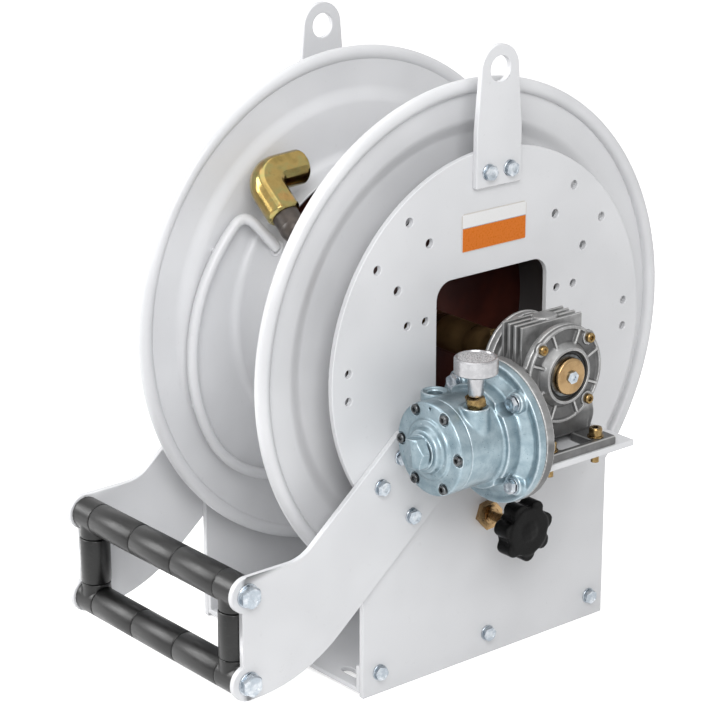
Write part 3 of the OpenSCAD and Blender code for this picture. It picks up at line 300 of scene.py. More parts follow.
class Graph:
    def __init__(self, tree):
        self.tree = tree

    def add(self, kind, settings={}, inputs={}, output=0):
        node = self.tree.nodes.new(kind)
        for key, value in settings.items():
            if key == "stops":
                ramp = node.color_ramp
                while len(ramp.elements) < len(value):
                    ramp.elements.new(0.5)
                for stop, (spot, tone) in zip(ramp.elements, value):
                    stop.position, stop.color = spot, (*tone, 1)
            else:
                setattr(node, key, value)
        for key, value in inputs.items():
            if isinstance(value, Wire):
                self.tree.links.new(value.socket, node.inputs[key])
            else:
                node.inputs[key].default_value = value
        return Wire(self, node.outputs[output])

    def seen(self):
        # 1 for what the camera sees, straight or in a reflection, and 0 for light on surfaces
        path = self.tree.nodes.new("ShaderNodeLightPath")
        camera, glossy, through = [Wire(self, path.outputs["Is " + ray + " Ray"])
                                   for ray in ("Camera", "Glossy", "Transmission")]
        return camera + glossy + through


class Look(Graph):
    def __init__(self, name, **fixed):
        self.material = bpy.data.materials.new(name)
        self.material.use_nodes = True
        super().__init__(self.material.node_tree)
        self.shader = self.tree.nodes["Principled BSDF"]
        for key, value in fixed.items():
            self.shader.inputs[key.replace("_", " ")].default_value = value
        self.place = self.add("ShaderNodeTexCoord", output="Object")

    def noise(self, scale, detail=3, rough=0.55, stretch=None):
        where = self.place
        if stretch:
            where = self.add("ShaderNodeMapping", {}, {"Vector": where, "Scale": stretch})
        return self.add("ShaderNodeTexNoise", {}, {"Vector": where, "Scale": scale,
                                                   "Detail": detail, "Roughness": rough})

    def spread(self, wire, low, high, toLow=0.0, toHigh=1.0):
        return self.add("ShaderNodeMapRange", {"interpolation_type": "SMOOTHSTEP"},
                        {"Value": wire, "From Min": low, "From Max": high,
                         "To Min": toLow, "To Max": toHigh})

    def blend(self, factor, first, second):
        pair = [(*tone, 1) if isinstance(tone, tuple) else tone for tone in (first, second)]
        return self.add("ShaderNodeMix", {"data_type": "RGBA"},
                        {0: factor, 6: pair[0], 7: pair[1]}, output=2)

    def axes(self):
        node = self.tree.nodes.new("ShaderNodeSeparateXYZ")
        self.tree.links.new(self.place.socket, node.inputs[0])
        return [Wire(self, node.outputs[i]) for i in range(3)]

    def edges(self, low, high):
        # 0 to 1 between two values of the mesh's curvature, which is over 0.5 on outer edges
        return self.spread(self.add("ShaderNodeNewGeometry", output="Pointiness"), low, high)

    def relief(self, height, strength, depth):
        bump = {"Height": height, "Strength": strength, "Distance": depth * mm}
        self.drive(Normal=self.add("ShaderNodeBump", {}, bump))

    def drive(self, **wires):
        for key, wire in wires.items():
            self.tree.links.new(wire.socket, self.shader.inputs[key.replace("_", " ")])

    def coat(self, tone, grain, rough, low=0.3, high=0.7):
        self.drive(Base_Color=tone, Roughness=self.spread(grain, low, high, *rough))


def plainLook(name, cloud, tones, rough, relief, grain=None, bumps=None, low=0.3, high=0.7, **fixed):
    # cloud mixes the two tones and grain the two roughnesses, and bumps raise the surface:
    # each is the numbers of a noise
    look = Look(name, **fixed)
    grain = grain or cloud
    tone = look.blend(look.spread(look.noise(*cloud), low, high), *tones)
    look.coat(tone, look.noise(*grain), rough)
    look.relief(look.noise(*(bumps or grain)), *relief)
    return look.material


# one tone is painted shade for the inside of the drum's hub
greyPaint = {"light": (0.64, 0.645, 0.66), "dark": (0.585, 0.59, 0.605), "dust": (0.52, 0.52, 0.53),
             "insideShade": (0.11, 0.105, 0.105), "shell": 148.5, "peel": 750, "peelDepth": 0.05}


def makeGreyPaint(name, shadedInside=False):
    # when set, the inside of the drum's hub gets painted shade: dark grey within the shell's radius
    g = greyPaint
    look = Look(name, Specular_IOR_Level=0.5)
    cloud = look.noise(9, 2)
    peel = look.noise(g["peel"], 2, 0.5)
    dust = look.spread(look.noise(160, 4, 0.7), 0.62, 0.74)
    tone = look.blend(look.spread(cloud, 0.3, 0.7), g["dark"], g["light"])
    tone = look.blend(dust * 0.35, tone, g["dust"])
    if shadedInside:
        # painted shade inside the hub
        x, y, z = look.axes()
        reach = (y * y + (z - axisHigh * mm) * (z - axisHigh * mm)) ** 0.5
        inside = look.spread(reach, (g["shell"] - 0.5) * mm, (g["shell"] + 0.5) * mm, 1, 0)
        tone = look.blend(inside, tone, g["insideShade"])
    look.coat(tone, cloud + peel * 0.3, (0.30, 0.40), 0.4, 0.9)
    look.relief(peel, 0.35, g["peelDepth"])
    return look.material


def makeBlackPlastic():
    look = Look("blackPlastic", Specular_IOR_Level=0.42)
    scuff = look.noise(60, 5, 0.7, stretch=(1, 6, 6))
    tone = look.blend(look.spread(scuff, 0.45, 0.8), (0.003,) * 3, (0.012,) * 3)
    look.coat(tone, scuff, (0.30, 0.44), 0.3, 0.75)
    look.relief(look.noise(1400, 2, 0.6), 0.3, 0.04)
    return look.material


def makeMotorPaint():
    # hammered blue-grey, worn bright on its edges, with painted shade darkening its corners
    look = Look("motorPaint", Metallic=0.72)
    sand = look.noise(520, 4, 0.65)
    lumps = look.noise(90, 3, 0.6)
    flake = look.noise(2600, 1, 0.5)
    tone = look.blend(look.spread(lumps + flake * 0.35, 0.5, 0.85), (0.22, 0.295, 0.335), (0.31, 0.39, 0.43))
    # painted shade: concave corners darkened
    tone = look.blend(look.edges(0.49, 0.44) * 0.5, tone, (0.10, 0.145, 0.175))
    tone = look.blend(look.edges(0.515, 0.56) * 0.65, tone, (0.62, 0.68, 0.71))
    look.coat(tone, sand, (0.27, 0.44))
    look.relief(sand * 0.7 + lumps, 0.5, 0.22)
    return look.material


def makeCastAlloy(name, axis, start, end, amount, shade):
    # raw casting with painted shade: darker in its corners, and on one side of a place along the axis, low
    # down at its feet or in the cover's recess
    look = Look(name, Metallic=0.8)
    sand = look.noise(800, 4, 0.65)
    lumps = look.noise(70, 3, 0.6)
    tone = look.blend(look.spread(lumps, 0.35, 0.7), (0.23,) * 3, (0.32,) * 3)
    # painted shade: concave corners and gaps between fins darkened
    tone = look.blend(look.edges(0.49, 0.43) * 0.85, tone, (0.045,) * 3)
    # painted shade: darker below or behind a place along the axis
    place = look.axes()[axis]
    tone = look.blend(look.spread(place, start * mm, end * mm, amount, 0), tone, (shade,) * 3)
    tone = look.blend(look.edges(0.51, 0.57) * 0.8, tone, (0.72, 0.72, 0.71))
    look.coat(tone, sand, (0.42, 0.58))
    look.relief(sand + lumps * 0.5, 0.5, 0.14)
    return look.material


def makeYellowZinc():
    look = Look("yellowZinc", Metallic=1.0)
    spots = look.noise(110, 2, 0.5)
    stops = [(0.30, (0.27, 0.20, 0.065)), (0.45, (0.38, 0.27, 0.095)), (0.56, (0.32, 0.28, 0.11)),
             (0.68, (0.44, 0.27, 0.10))]
    tone = look.add("ShaderNodeValToRGB", {"stops": stops}, {"Fac": look.noise(38, 3, 0.6)})
    tone = look.blend(look.spread(spots, 0.5, 0.8) * 0.5, tone, (0.20, 0.14, 0.045))
    look.coat(tone, spots, (0.16, 0.24))
    look.relief(look.noise(200, 2, 0.5), 0.15, 0.05)
    return look.material


def makeFilterFace():
    look = Look("filterFace", Metallic=0.6)
    pores = look.add("ShaderNodeTexVoronoi", {}, {"Vector": look.place, "Scale": 620})
    between = look.spread(pores, 0.22, 0.42)
    # painted shade: the pores are painted dark
    look.coat(look.blend(between, (0.07, 0.07, 0.075), (0.50, 0.50, 0.51)), pores, (0.65, 0.45), 0.2, 0.6)
    look.relief(between, 0.8, 0.25)
    return look.material


labelSheet = {"middle": axisHigh + 122, "high": 38, "wide": 83, "thick": 0.8, "band": 0.36, "line": 0.7,
              "corner": 3.5, "edge": 0.9}


def makeLabel():
    look = Look("labelSheet", Specular_IOR_Level=0.18)
    l = labelSheet
    x, y, z = look.axes()
    top = (l["middle"] + l["high"] / 2) * mm
    split = top - l["high"] * l["band"] * mm
    side = l["wide"] / 2 - l["edge"]
    edge = (z > top - l["edge"] * mm) + (z < top - (l["high"] - l["edge"]) * mm)
    edge = edge + (y > side * mm) + (y < -side * mm)
    line = (z < split) * (z > split - l["line"] * mm)
    ink = look.noise(500, 2)
    orange = look.blend(look.spread(ink, 0.3, 0.7), (0.55, 0.135, 0.006), (0.60, 0.15, 0.009))
    tone = look.blend(z > split, orange, (0.70, 0.70, 0.70))
    tone = look.blend(line, tone, (0.30, 0.31, 0.33))
    look.coat(look.blend(look.spread(edge, 0.2, 0.8), tone, (0.56, 0.53, 0.50)), ink, (0.26, 0.36))
    look.relief(look.noise(260, 2), 0.15, 0.05)
    return look.material


paint = makeGreyPaint("greyPaint")
drumPaint = makeGreyPaint("drumPaint", shadedInside=True)
black = makeBlackPlastic()
knobBlack = plainLook("knobPlastic", (70, 3), ((0.0015,) * 3, (0.004,) * 3), (0.26, 0.38), (0.25, 0.04),
                      grain=(900, 3, 0.6), low=0.4, high=0.8, Specular_IOR_Level=0.10)
motorBlue = makeMotorPaint()
# painted shade on the lower part of the gearbox castings and in the outer cover's recess
alloy = makeCastAlloy("castAlloy", 2, axisHigh - 48, axisHigh - 40, 0.6, 0.05)
coverAlloy = makeCastAlloy("coverAlloy", 0, 228.6, 230, 0.72, 0.06)
zinc = plainLook("zincSteel", (150, 2), ((0.36, 0.40, 0.44), (0.54, 0.57, 0.60)), (0.24, 0.40),
                 (0.25, 0.05), grain=(420, 4, 0.6), low=0.4, Metallic=1.0)
yellow = makeYellowZinc()
brass = plainLook("brass", (260, 3, 0.6), ((0.16, 0.105, 0.045), (0.29, 0.20, 0.085)), (0.2, 0.36),
                  (0.2, 0.05), low=0.35, Metallic=1.0)
silver = plainLook("silencerMetal", (200, 2), ((0.36, 0.36, 0.37), (0.42, 0.42, 0.43)), (0.26, 0.32),
                   (0.1, 0.02), grain=(1500, 3, 0.7), low=0.4, Metallic=1.0)
filterGrey = makeFilterFace()
rubber = plainLook("sealRubber", (900, 3, 0.6), ((0.012,) * 3, (0.03,) * 3), (0.42, 0.6), (0.3, 0.05),
                   low=0.4, Specular_IOR_Level=0.4)
lining = plainLook("brakeLining", (700, 4, 0.7), ((0.07, 0.06, 0.055), (0.16, 0.13, 0.11)), (0.75, 0.9),
                   (0.6, 0.2), low=0.4, high=0.65)
primer = plainLook("primer", (18, 4, 0.6), ((0.040, 0.008, 0.005), (0.085, 0.018, 0.010)), (0.3, 0.45),
                   (0.3, 0.06), bumps=(600, 2), Specular_IOR_Level=0.5)
darkPipe = plainLook("darkPipe", (60, 4, 0.6), ((0.020, 0.015, 0.012), (0.055, 0.042, 0.034)), (0.3, 0.48),
                     (0.3, 0.06), bumps=(500, 3), Metallic=0.25)
shaftSteel = plainLook("shaftSteel", (30, 4, 0.6, (1, 0.3, 0.3)), ((0.17, 0.095, 0.04), (0.34, 0.21, 0.09)),
                       (0.24, 0.4), (0.2, 0.05), bumps=(500, 3), Metallic=0.95)
bronze = plainLook("shaftBronze", (55, 3, 0.6), ((0.38, 0.255, 0.13), (0.27, 0.175, 0.085)), (0.2, 0.34),
                   (0.2, 0.04), grain=(90, 4, 0.6, (6, 1, 1)), low=0.4, Metallic=1.0)
darkSteel = plainLook("oiledSteel", (160, 4, 0.6), ((0.05, 0.05, 0.052), (0.16, 0.17, 0.175)), (0.25, 0.42),
                      (0.2, 0.05), bumps=(500, 3), Metallic=0.9)
label = makeLabel()
print("materials made")

# Sheet metal of the frame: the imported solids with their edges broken

sheetEdge = 0.9
for node in ("right_side_plate", "left_side_plate", "right_lifting_eye", "left_lifting_eye",
             "right_arm", "left_arm", "gearbox_shelf", "base_pan"):
    sheet = editMesh(nodeCopy(node), ("remove_doubles", {"threshold": 2e-5}),
                     ("dissolve_degenerate", {"threshold": 1e-5}),
                     ("dissolve_limited", {"angle_limit": 0.01}))
    # sliding bevels would leave slivers between the plates' many holes
    sheet = flatShade(rounded(sheet, sheetEdge, 3, slide=not node.endswith("plate")))
    done(sheet, node + "_sheet", "frame", "grey_paint", paint, node)
print("sheet metal made")

# Drum

# lip and root: the angles on the rolled bead where it meets the sheet's two faces
drum = {"rim": 260, "bead": 7.25, "beadAt": 92.75, "lip": 185.9, "root": -148.9, "outer": 92, "sheet": 3,
        "drop": 6, "bore": 147, "stepStart": 203, "stepEnd": 221, "hub": 150, "hubEdge": 0.9, "fillet": 9,
        "overlap": 0.5}


def flangeStep(face):
    d = drum
    run = []
    for t in [i / 8 for i in range(9)]:
        lift = t * t * (3 - 2 * t)
        run.append((face - d["drop"] * (1 - lift), d["stepStart"] + (d["stepEnd"] - d["stepStart"]) * t))
    return run


def flangeStations():
    d = drum
    ridge, inner = d["rim"] - d["bead"], d["outer"] - d["sheet"]
    roll = []
    for i in range(25):
        a = radians(d["lip"] - (d["lip"] - d["root"]) * i / 24)
        roll.append((d["beadAt"] + d["bead"] * sin(a), ridge + d["bead"] * cos(a)))
    return ([(d["outer"] - d["drop"], d["bore"])] + flangeStep(d["outer"]) + roll
            + flangeStep(inner)[::-1] + [(inner - d["drop"], d["bore"])])


def makeHubFillets():
    # the smooth corner where each flange runs into the hub
    d = drum
    face, big, low = d["outer"] - d["sheet"] - d["drop"], d["fillet"], d["hub"] - d["overlap"]
    arc = [(face - big + big * cos(a), d["hub"] + big - big * sin(a))
           for a in map(radians, range(0, 91, 10))]
    ring = turned([(face + d["overlap"], low), (face + d["overlap"], d["hub"] + big)] + arc
                  + [(face - big, low)], centre=onAxis, verts=128)
    return smoothShade(joined([ring, duplicate(ring, mirrorX)]), 60)


rightFlange = smoothShade(turned(flangeStations(), centre=onAxis, verts=160), 40)
leftFlange = duplicate(rightFlange, mirrorX)
done(rightFlange, "right_flange_pressing", "drum", "grey_paint", paint, "right_flange")
done(leftFlange, "left_flange_pressing", "drum", "grey_paint", paint, "left_flange")
hub = flatShade(rounded(nodeCopy("hub"), drum["hubEdge"], 2, 50), 40)
done(hub, "hub_shell", "drum", "grey_paint", drumPaint, "hub")
done(makeHubFillets(), "hub_fillets", "drum", "grey_paint", paint)
print("drum made")

# one large arc from start to turn, then a tighter one to end, in degrees
bar = {"x": -74.5, "centre": (-30, -22), "radius": 180, "thick": 5.5, "start": 129, "turn": 208, "end": 262,
       "lowRadius": 110, "footTop": 146, "footLow": 232, "reach": 27, "bend": 17, "sink": 2,
       "stand": 3, "standFrom": -83, "standIn": 15, "weld": 7, "weldThick": 1.8, "weldUp": 2.2}


def barSpot(x, centre, radius, a):
    across, up = radius * cos(radians(a)), radius * sin(radians(a))
    return Vector((x, centre[0] + across, axisHigh + centre[1] + up))


def onArc(a):
    b = bar
    shift = b["radius"] - b["lowRadius"]
    turn = radians(b["turn"])
    lowCentre = (b["centre"][0] + shift * cos(turn), b["centre"][1] + shift * sin(turn))
    if a < b["turn"]:
        return barSpot(b["x"], b["centre"], b["radius"], a)
    return barSpot(b["x"], lowCentre, b["lowRadius"], a)


def barFoot(a):
    return barSpot(bar["x"] + bar["reach"], (0, 0), drum["hub"] - bar["sink"], a)


def roundCorner(before, at, after, size):
    toFirst, toLast = (before - at).normalized() * size, (after - at).normalized() * size
    return [at + toFirst * (1 - t) ** 2 + toLast * t ** 2 for t in [i / 8 for i in range(9)]]


def makeGuideBar():
    b = bar
    arc = [onArc(b["start"] + (b["end"] - b["start"]) * i / 48) for i in range(49)]
    top, low = barFoot(b["footTop"]), barFoot(b["footLow"])
    middle = [p for p in arc[1:-1] if min((p - arc[0]).length, (p - arc[-1]).length) > b["bend"]]
    points = ([top] + roundCorner(top, arc[0], arc[1], b["bend"]) + middle
              + roundCorner(arc[-2], arc[-1], low, b["bend"]) + [low])
    pieces = [tube(points, b["thick"])]
    for a in (b["start"] + b["standIn"], (b["start"] + b["end"]) / 2, b["end"] - b["standIn"]):
        at = onArc(a)
        pieces.append(rod((b["standFrom"], *at.yz), (b["x"], *at.yz), b["stand"], 24))
    for a in (b["footTop"], b["footLow"]):   # weld beads round the feet
        out = Vector((0, cos(radians(a)), sin(radians(a))))
        pieces.append(primitive(
            "torus", major_radius=b["weld"] * mm, minor_radius=b["weldThick"] * mm,
            major_segments=40, minor_segments=10, location=(barFoot(a) + out * b["weldUp"]) * mm,
            rotation=Vector((0, 0, 1)).rotation_difference(out).to_euler()))
    return smoothShade(joined(pieces), 50)


done(makeGuideBar(), "guide_bar_rod", "drum", "grey_paint", paint, "guide_bar")

elbow = {"corner": (-61, -134, axisHigh + 155), "tilt": 38, "turn": 4.5, "leg": 17.5, "flat": 30, "bend": 20,
         "long": 50, "thread": 12, "threadDeep": 20, "bore": 11, "chamfer": 4, "chamferIn": 2.4}


def elbowRun(past):
    # along X into the bend and out along Y, in the elbow's own frame
    e = elbow
    arc = [(e["bend"] * (1 - sin(a)), e["bend"] * (1 - cos(a)), 0)
           for a in map(radians, range(0, 91, 6))]
    return [(e["long"] + past, 0, 0)] + arc + [(0, e["long"] + past, 0)]


def makeElbow():
    e = elbow
    half, leg, past = e["flat"] / 2, e["leg"], 5
    body = tube(elbowRun(0), leg)
    boolean(body, [block((-60, -60, -half), (90, 90, half))], "INTERSECT")
    for end in (Vector((1, 0, 0)), Vector((0, 1, 0))):   # turned chamfers at the ends
        near, far = end * (e["long"] - e["chamfer"]), end * (e["long"] + 0.01)
        keep = rod(near, far, leg + 0.4, 64, leg - e["chamferIn"])
        boolean(body, [boolean(rod(near, far * 1.1, 24, 64), [keep], "DIFFERENCE")], "DIFFERENCE")
    thread = rod((0, e["long"] - e["threadDeep"], 0), (0, e["long"] + past, 0), e["thread"], 48)
    body = cast([body], [tube(elbowRun(past), e["bore"]), thread], 0.7, 4)
    body.data.transform(moved(*e["corner"]) @ Matrix.Rotation(radians(e["tilt"]), 4, "Y")
                        @ Matrix.Rotation(radians(e["turn"]), 4, "X"))
    return smoothShade(body, 60)


done(makeElbow(), "elbow_forging", "drum", "yellow_zinc", yellow, "elbow")
print("hose elbow made")

# Roller guide

rollerSet = {"y": -305, "top": axisHigh - 172, "low": axisHigh - 261, "radius": 16, "bore": 9.08,
             "segment": 67.667, "gap": 0.4, "chamfer": 1.3, "ease": 0.35}
sideSet = {"x": 113.5, "radius": 15, "bore": 6.08, "chamfer": 1.2, "ease": 0.4}
cornerSet = {"long": 27.5, "stub": 20.5, "stubRadius": 14.5, "rod": 9, "pin": 6, "recess": 16.4}


def sleeveStations(low, high, sizes):
    # a plastic tube with soft ends
    c, big, bore = sizes["chamfer"], sizes["radius"], sizes["bore"]
    ease = sizes["ease"] * c
    return [(low, bore), (low, big - c), (low + ease, big - 0.3 * c), (low + c, big),
            (high - c, big), (high - ease, big - 0.3 * c), (high, big - c), (high, bore)]


def makeRoller(x, z):
    half = (rollerSet["segment"] - rollerSet["gap"]) / 2
    stations = sleeveStations(x - half, x + half, rollerSet)
    return turned(stations, "X", (0, rollerSet["y"], z), 72)


def makeSideRoller(x):
    clear = cornerSet["stub"] + rollerSet["gap"]
    stations = sleeveStations(rollerSet["low"] + clear, rollerSet["top"] - clear, sideSet)
    return turned(stations, "Z", (x, rollerSet["y"], 0), 72)


def makeCorners():
    k, x, end = cornerSet, sideSet["x"], plateFace - cornerSet["long"]
    sleeve = rod((end, 0, 0), (plateFace, 0, 0), rollerSet["radius"], 72)
    stub = rod((x, 0, 0), (x, 0, -k["stub"]), k["stubRadius"], 72)
    piece = cast([sleeve, stub], [rod((60, 0, 0), (end - 0.2, 0, 0), k["recess"], 72),
                                  rod((60, 0, 0), (140, 0, 0), k["rod"] + fit, 48),
                                  rod((x, 0, -30), (x, 0, 0), k["pin"] + fit, 48)], 0.8, 3)
    up = moved(0, rollerSet["y"], rollerSet["top"])
    low = moved(0, rollerSet["y"], rollerSet["low"]) @ mirrorZ
    return smoothShade(joined(copies(piece, (up, low, mirrorX @ up, mirrorX @ low))), 60)


for row, z in (("upper", rollerSet["top"]), ("lower", rollerSet["low"])):
    for side, along in (("right", 1), ("middle", 0), ("left", -1)):
        name = row + "_roller_" + side
        roller = smoothShade(makeRoller(along * rollerSet["segment"], z), 50)
        done(roller, name + "_sleeve", name, "black_plastic", black, name)
for side, sign in (("right", 1), ("left", -1)):
    name = "side_roller_" + side
    roller = smoothShade(makeSideRoller(sign * sideSet["x"]), 50)
    done(roller, name + "_sleeve", name, "black_plastic", black, name)
done(makeCorners(), "guide_corner_set", "frame", "black_plastic", black, "guide_corners")
print("roller guide made")

# Bolts, washers and nuts

def hexSolid(width, low, high, chamfer=0.16):
    # a hexagon along +X with turned chamfers on its outer face
    across = width / sqrt(3)
    nut = primitive("cylinder", vertices=6, radius=across * mm, depth=(high - low) * mm,
                    location=((low + high) / 2 * mm, 0, 0), rotation=(radians(15), pi / 2, 0))
    drop = (high - low) * chamfer
    cone = turned([(low - 0.01, across * 1.02), (high - drop, across * 1.02), (high, width / 2 * 0.94)],
                  loop=False, verts=64)
    return boolean(nut, [cone], "INTERSECT")


def washer(low, high, outer, inner):
    e = min(0.3, (high - low) / 3)
    return turned([(low, inner), (low, outer - e), (low + e, outer), (high - e, outer),
                   (high, outer - e), (high, inner)], verts=64)


def makeBolt(size, grip, nut=True):
    # head outward along +X from the plate's face at x = 0
    width, head, shank, thick = size["width"], size["head"], size["shank"], size["thick"]
    top = thick + head
    cap = hexSolid(width, thick, top)
    dish = turned([(top - 0.5, width * 0.24), (top - 0.1, width * 0.33), (top + 0.4, width * 0.36)],
                  loop=False, verts=48)
    boolean(cap, [dish], "DIFFERENCE")
    length = grip + (top if nut else 0)
    pieces = [cap, washer(0, thick, size["washer"], shank * 0.98),
              rod((-length, 0, 0), (thick + 0.2, 0, 0), shank, 32)]
    if nut:
        back = hexSolid(width, 0, head)
        back.data.transform(moved(-grip, 0, 0) @ Matrix.Rotation(pi, 4, "Z"))
        hole = rod((-grip - head - 1, 0, 0), (-grip + 1, 0, 0), shank - fit, 32)
        pieces.append(boolean(back, [hole], "DIFFERENCE"))
    return smoothShade(joined(pieces), 25)


def socketScrew(radius, head, shank, long):
    # a cap screw along +X with its head from x = 0
    cap = turned([(0, shank * 0.9), (0, radius), (head * 0.8, radius), (head, radius * 0.86), (head, 0.3)],
                 loop=False, verts=48)
    socket = primitive("cylinder", vertices=6, radius=radius * 0.52 * mm, depth=head * mm,
                       location=(head * 0.78 * mm, 0, 0), rotation=(0.3, pi / 2, 0))
    boolean(cap, [socket], "DIFFERENCE")
    return smoothShade(joined([cap, rod((-long, 0, 0), (0.3, 0, 0), shank, 24)]), 32)


def spread(pieces, name, slot, look, *nodes):
    return done(smoothShade(joined(pieces), 25), name, "frame", slot, look, *nodes)


def facing(x, y, z, side=1, spin=0):
    # outward on the right (side 1) or the left
    turn = Matrix.Identity(4) if side > 0 else Matrix.Rotation(pi, 4, "Z")
    return moved(x, y, z) @ turn @ Matrix.Rotation(radians(spin), 4, "X")


def facingFront(x, y, z, spin):
    return moved(x, y, z) @ Matrix.Rotation(-pi / 2, 4, "Z") @ Matrix.Rotation(radians(spin), 4, "X")


small = {"width": 13, "head": 5.3, "shank": 4, "washer": 8, "thick": 1.6}
large = {"width": 19, "head": 7.5, "shank": 6, "washer": 11.75, "thick": 1.6}
grip = {"base": 11, "plate": 12, "housing": 14, "rod": 26, "motor": 25}
baseBolt = {"y": 142, "z": 19.5}
basePlaces = [facing(s * plateFace, y * baseBolt["y"], baseBolt["z"], s, 17 * y + 9 * s)
              for s in (1, -1) for y in (-1, 0, 1)]
baseBolts = copies(makeBolt(small, grip["base"]), basePlaces)
spread(baseBolts, "base_bolt_set", "zinc_steel", zinc, "base_bolts")

pattern = {"radius": 160, "wide": 55, "deep": 35, "angle": 225}
eyeBolt = {"y": 13.5, "z": axisHigh + 179}
housing = {"face": -137, "bolts": 43}


def patternPoint(u, v):
    a = radians(pattern["angle"])
    out, along = pattern["radius"] + u * pattern["deep"] / 2, v * pattern["wide"] / 2
    return (out * cos(a) - along * sin(a), axisHigh + out * sin(a) + along * cos(a))


platePlaces = []
for s in (1, -1):
    platePlaces += [facing(s * armFace, *patternPoint(u, v), s, 23 * u - 11 * v) for u, v in fourSigns]
    platePlaces += [facing(s * armFace, y * eyeBolt["y"], eyeBolt["z"], s, 8 + 14 * y) for y in (-1, 1)]
housingPlaces = [facing(housing["face"], y, z, -1, a)
                 for y, z, a in around(4, housing["bolts"], 45, (0, axisHigh))]
plateSet = copies(makeBolt(small, grip["plate"]), platePlaces)
housingSet = copies(makeBolt(small, grip["housing"]), housingPlaces)
spread(plateSet + housingSet, "plate_bolt_set", "zinc_steel", zinc, "plate_bolts")

rodPlaces = [facing(s * armFace, rollerSet["y"], z, s, 12 + 20 * s)
             for s in (1, -1) for z in (rollerSet["top"], rollerSet["low"])]
rodBolts = copies(makeBolt(large, grip["rod"], nut=False), rodPlaces)
spread(rodBolts, "rod_bolt_set", "zinc_steel", zinc, "rod_bolts")
print("bolts made")

# Brake knob and bush

knob = {"y": -4, "z": axisHigh - 171, "face": 193, "grip": 21, "hub": 11, "hubRadius": 12, "core": 24.7,
        "radius": 31.5, "lobe": 8.5, "lobes": 7, "soft": 1.5, "crown": 56, "rise": 0.6, "deep": 6,
        "spindle": 6, "spin": 13}


def makeKnob():
    k = knob
    face, start = k["face"], k["face"] - k["grip"]
    parts = [rod((start, 0, 0), (face - k["rise"], 0, 0), k["core"], 72),
             rod((start - k["hub"], 0, 0), (start + 2, 0, 0), k["hubRadius"], 48)]
    parts += [rod((start + k["soft"], y, z), (face - k["soft"], y, z), k["lobe"], 40)
              for y, z, a in around(k["lobes"], k["radius"] - k["lobe"])]
    crown = ball((face + k["rise"] - k["crown"], 0, 0), k["crown"])
    parts.append(boolean(crown, [block((face - k["deep"], -60, -60), (face + 20, 60, 60))], "INTERSECT"))
    hole = rod((start - k["hub"] - 1, 0, 0), (face - k["deep"], 0, 0), k["spindle"] + fit, 40)
    piece = cast(parts, [hole], 0.8, 7)
    piece.data.transform(facing(0, k["y"], k["z"], 1, k["spin"]))
    return smoothShade(piece, 60)


done(makeKnob(), "brake_knob_grip", "brake_spindle", "black_plastic", knobBlack, "brake_knob")

bush = {"width": 26, "long": 10, "bore": 6.08, "collar": 10.98, "plate": 6, "mouth": 8.2, "sleeve": 8.3,
        "sleeveEnd": 9.2, "spin": 11}


def makeBush():
    b = bush
    nut = hexSolid(b["width"], 0, b["long"], 0.14)
    boolean(nut, [rod((-1, 0, 0), (b["long"] + 1, 0, 0), b["mouth"], 48)], "DIFFERENCE")
    sleeve = turned([(-b["plate"], b["bore"]), (-b["plate"], b["collar"]), (0, b["collar"]),
                     (0, b["sleeve"]), (b["sleeveEnd"], b["sleeve"]), (b["sleeveEnd"], b["bore"])], verts=64)
    piece = joined([nut, sleeve])
    piece.data.transform(facing(plateFace, knob["y"], knob["z"], 1, b["spin"]))
    return smoothShade(piece, 32)


done(makeBush(), "brake_bush_nut", "frame", "yellow_zinc", bronze, "brake_bush")
print("brake made")

# Gearbox

gear = {"x": 199, "inner": 171.5, "outer": 226.5, "rim": 7, "core": 40, "cover": 48, "coverThick": 4,
        "screws": 30.5, "bore": 31, "seal": 24.5, "worm": axisHigh - 50, "wormCase": 24, "wormBore": 17,
        "half": 24.5, "gusset": 3.5, "foot": axisHigh - 74.5, "under": axisHigh - 20, "flange": 70,
        "bolts": 57.5, "hole": 4.5}
fin = {"count": 4, "thick": 3, "front": -40, "back": 38, "low": axisHigh - 12, "top": axisHigh + 49.5}
boss = {"y": 2, "radius": 10, "low": 30, "top": 51, "chamfer": 0.8, "stretch": 1.35}
wormAxis = (gear["x"], gear["worm"])
flangeHoles = around(4, gear["bolts"], 45, wormAxis)


def acrossGear(low, high, radius, verts=96, endRadius=None):
    return rod((low, 0, axisHigh), (high, 0, axisHigh), radius, verts, endRadius)


def alongWorm(low, high, radius, verts=96, endRadius=None):
    return rod((gear["x"], low, gear["worm"]), (gear["x"], high, gear["worm"]), radius, verts, endRadius)


def gearBore():
    return acrossGear(gear["inner"] - 2, gear["outer"] + 2, gear["bore"] + fit, 64)


def makeHousing():
    g = gear
    parts = [acrossGear(g["inner"], g["outer"], g["core"])]
    for x in (g["inner"], g["outer"] - g["rim"]):
        parts.append(acrossGear(x, x + g["rim"], g["cover"]))
    parts.append(alongWorm(-48, 48, g["wormCase"], 72))
    parts.append(block((g["x"] - g["half"], -40, g["foot"] + 9), (g["x"] + g["half"], 40, g["under"])))
    for x in (g["x"] - 18, g["x"] + 18):   # gussets down to the feet
        parts.append(block((x - g["gusset"], -47, g["foot"] + 8), (x + g["gusset"], 47, g["under"])))
    parts += [alongWorm(-58, -48, g["flange"], 128), alongWorm(-50, -44, 40, 96, 32)]
    cuts = [gearBore(), alongWorm(-60, 44, g["wormBore"] + fit, 48)]
    cuts += [rod((x, -60, z), (x, -46, z), g["hole"], 24) for x, z, a in flangeHoles]
    return smoothShade(cast(parts, cuts, 1.05, 3), 60)


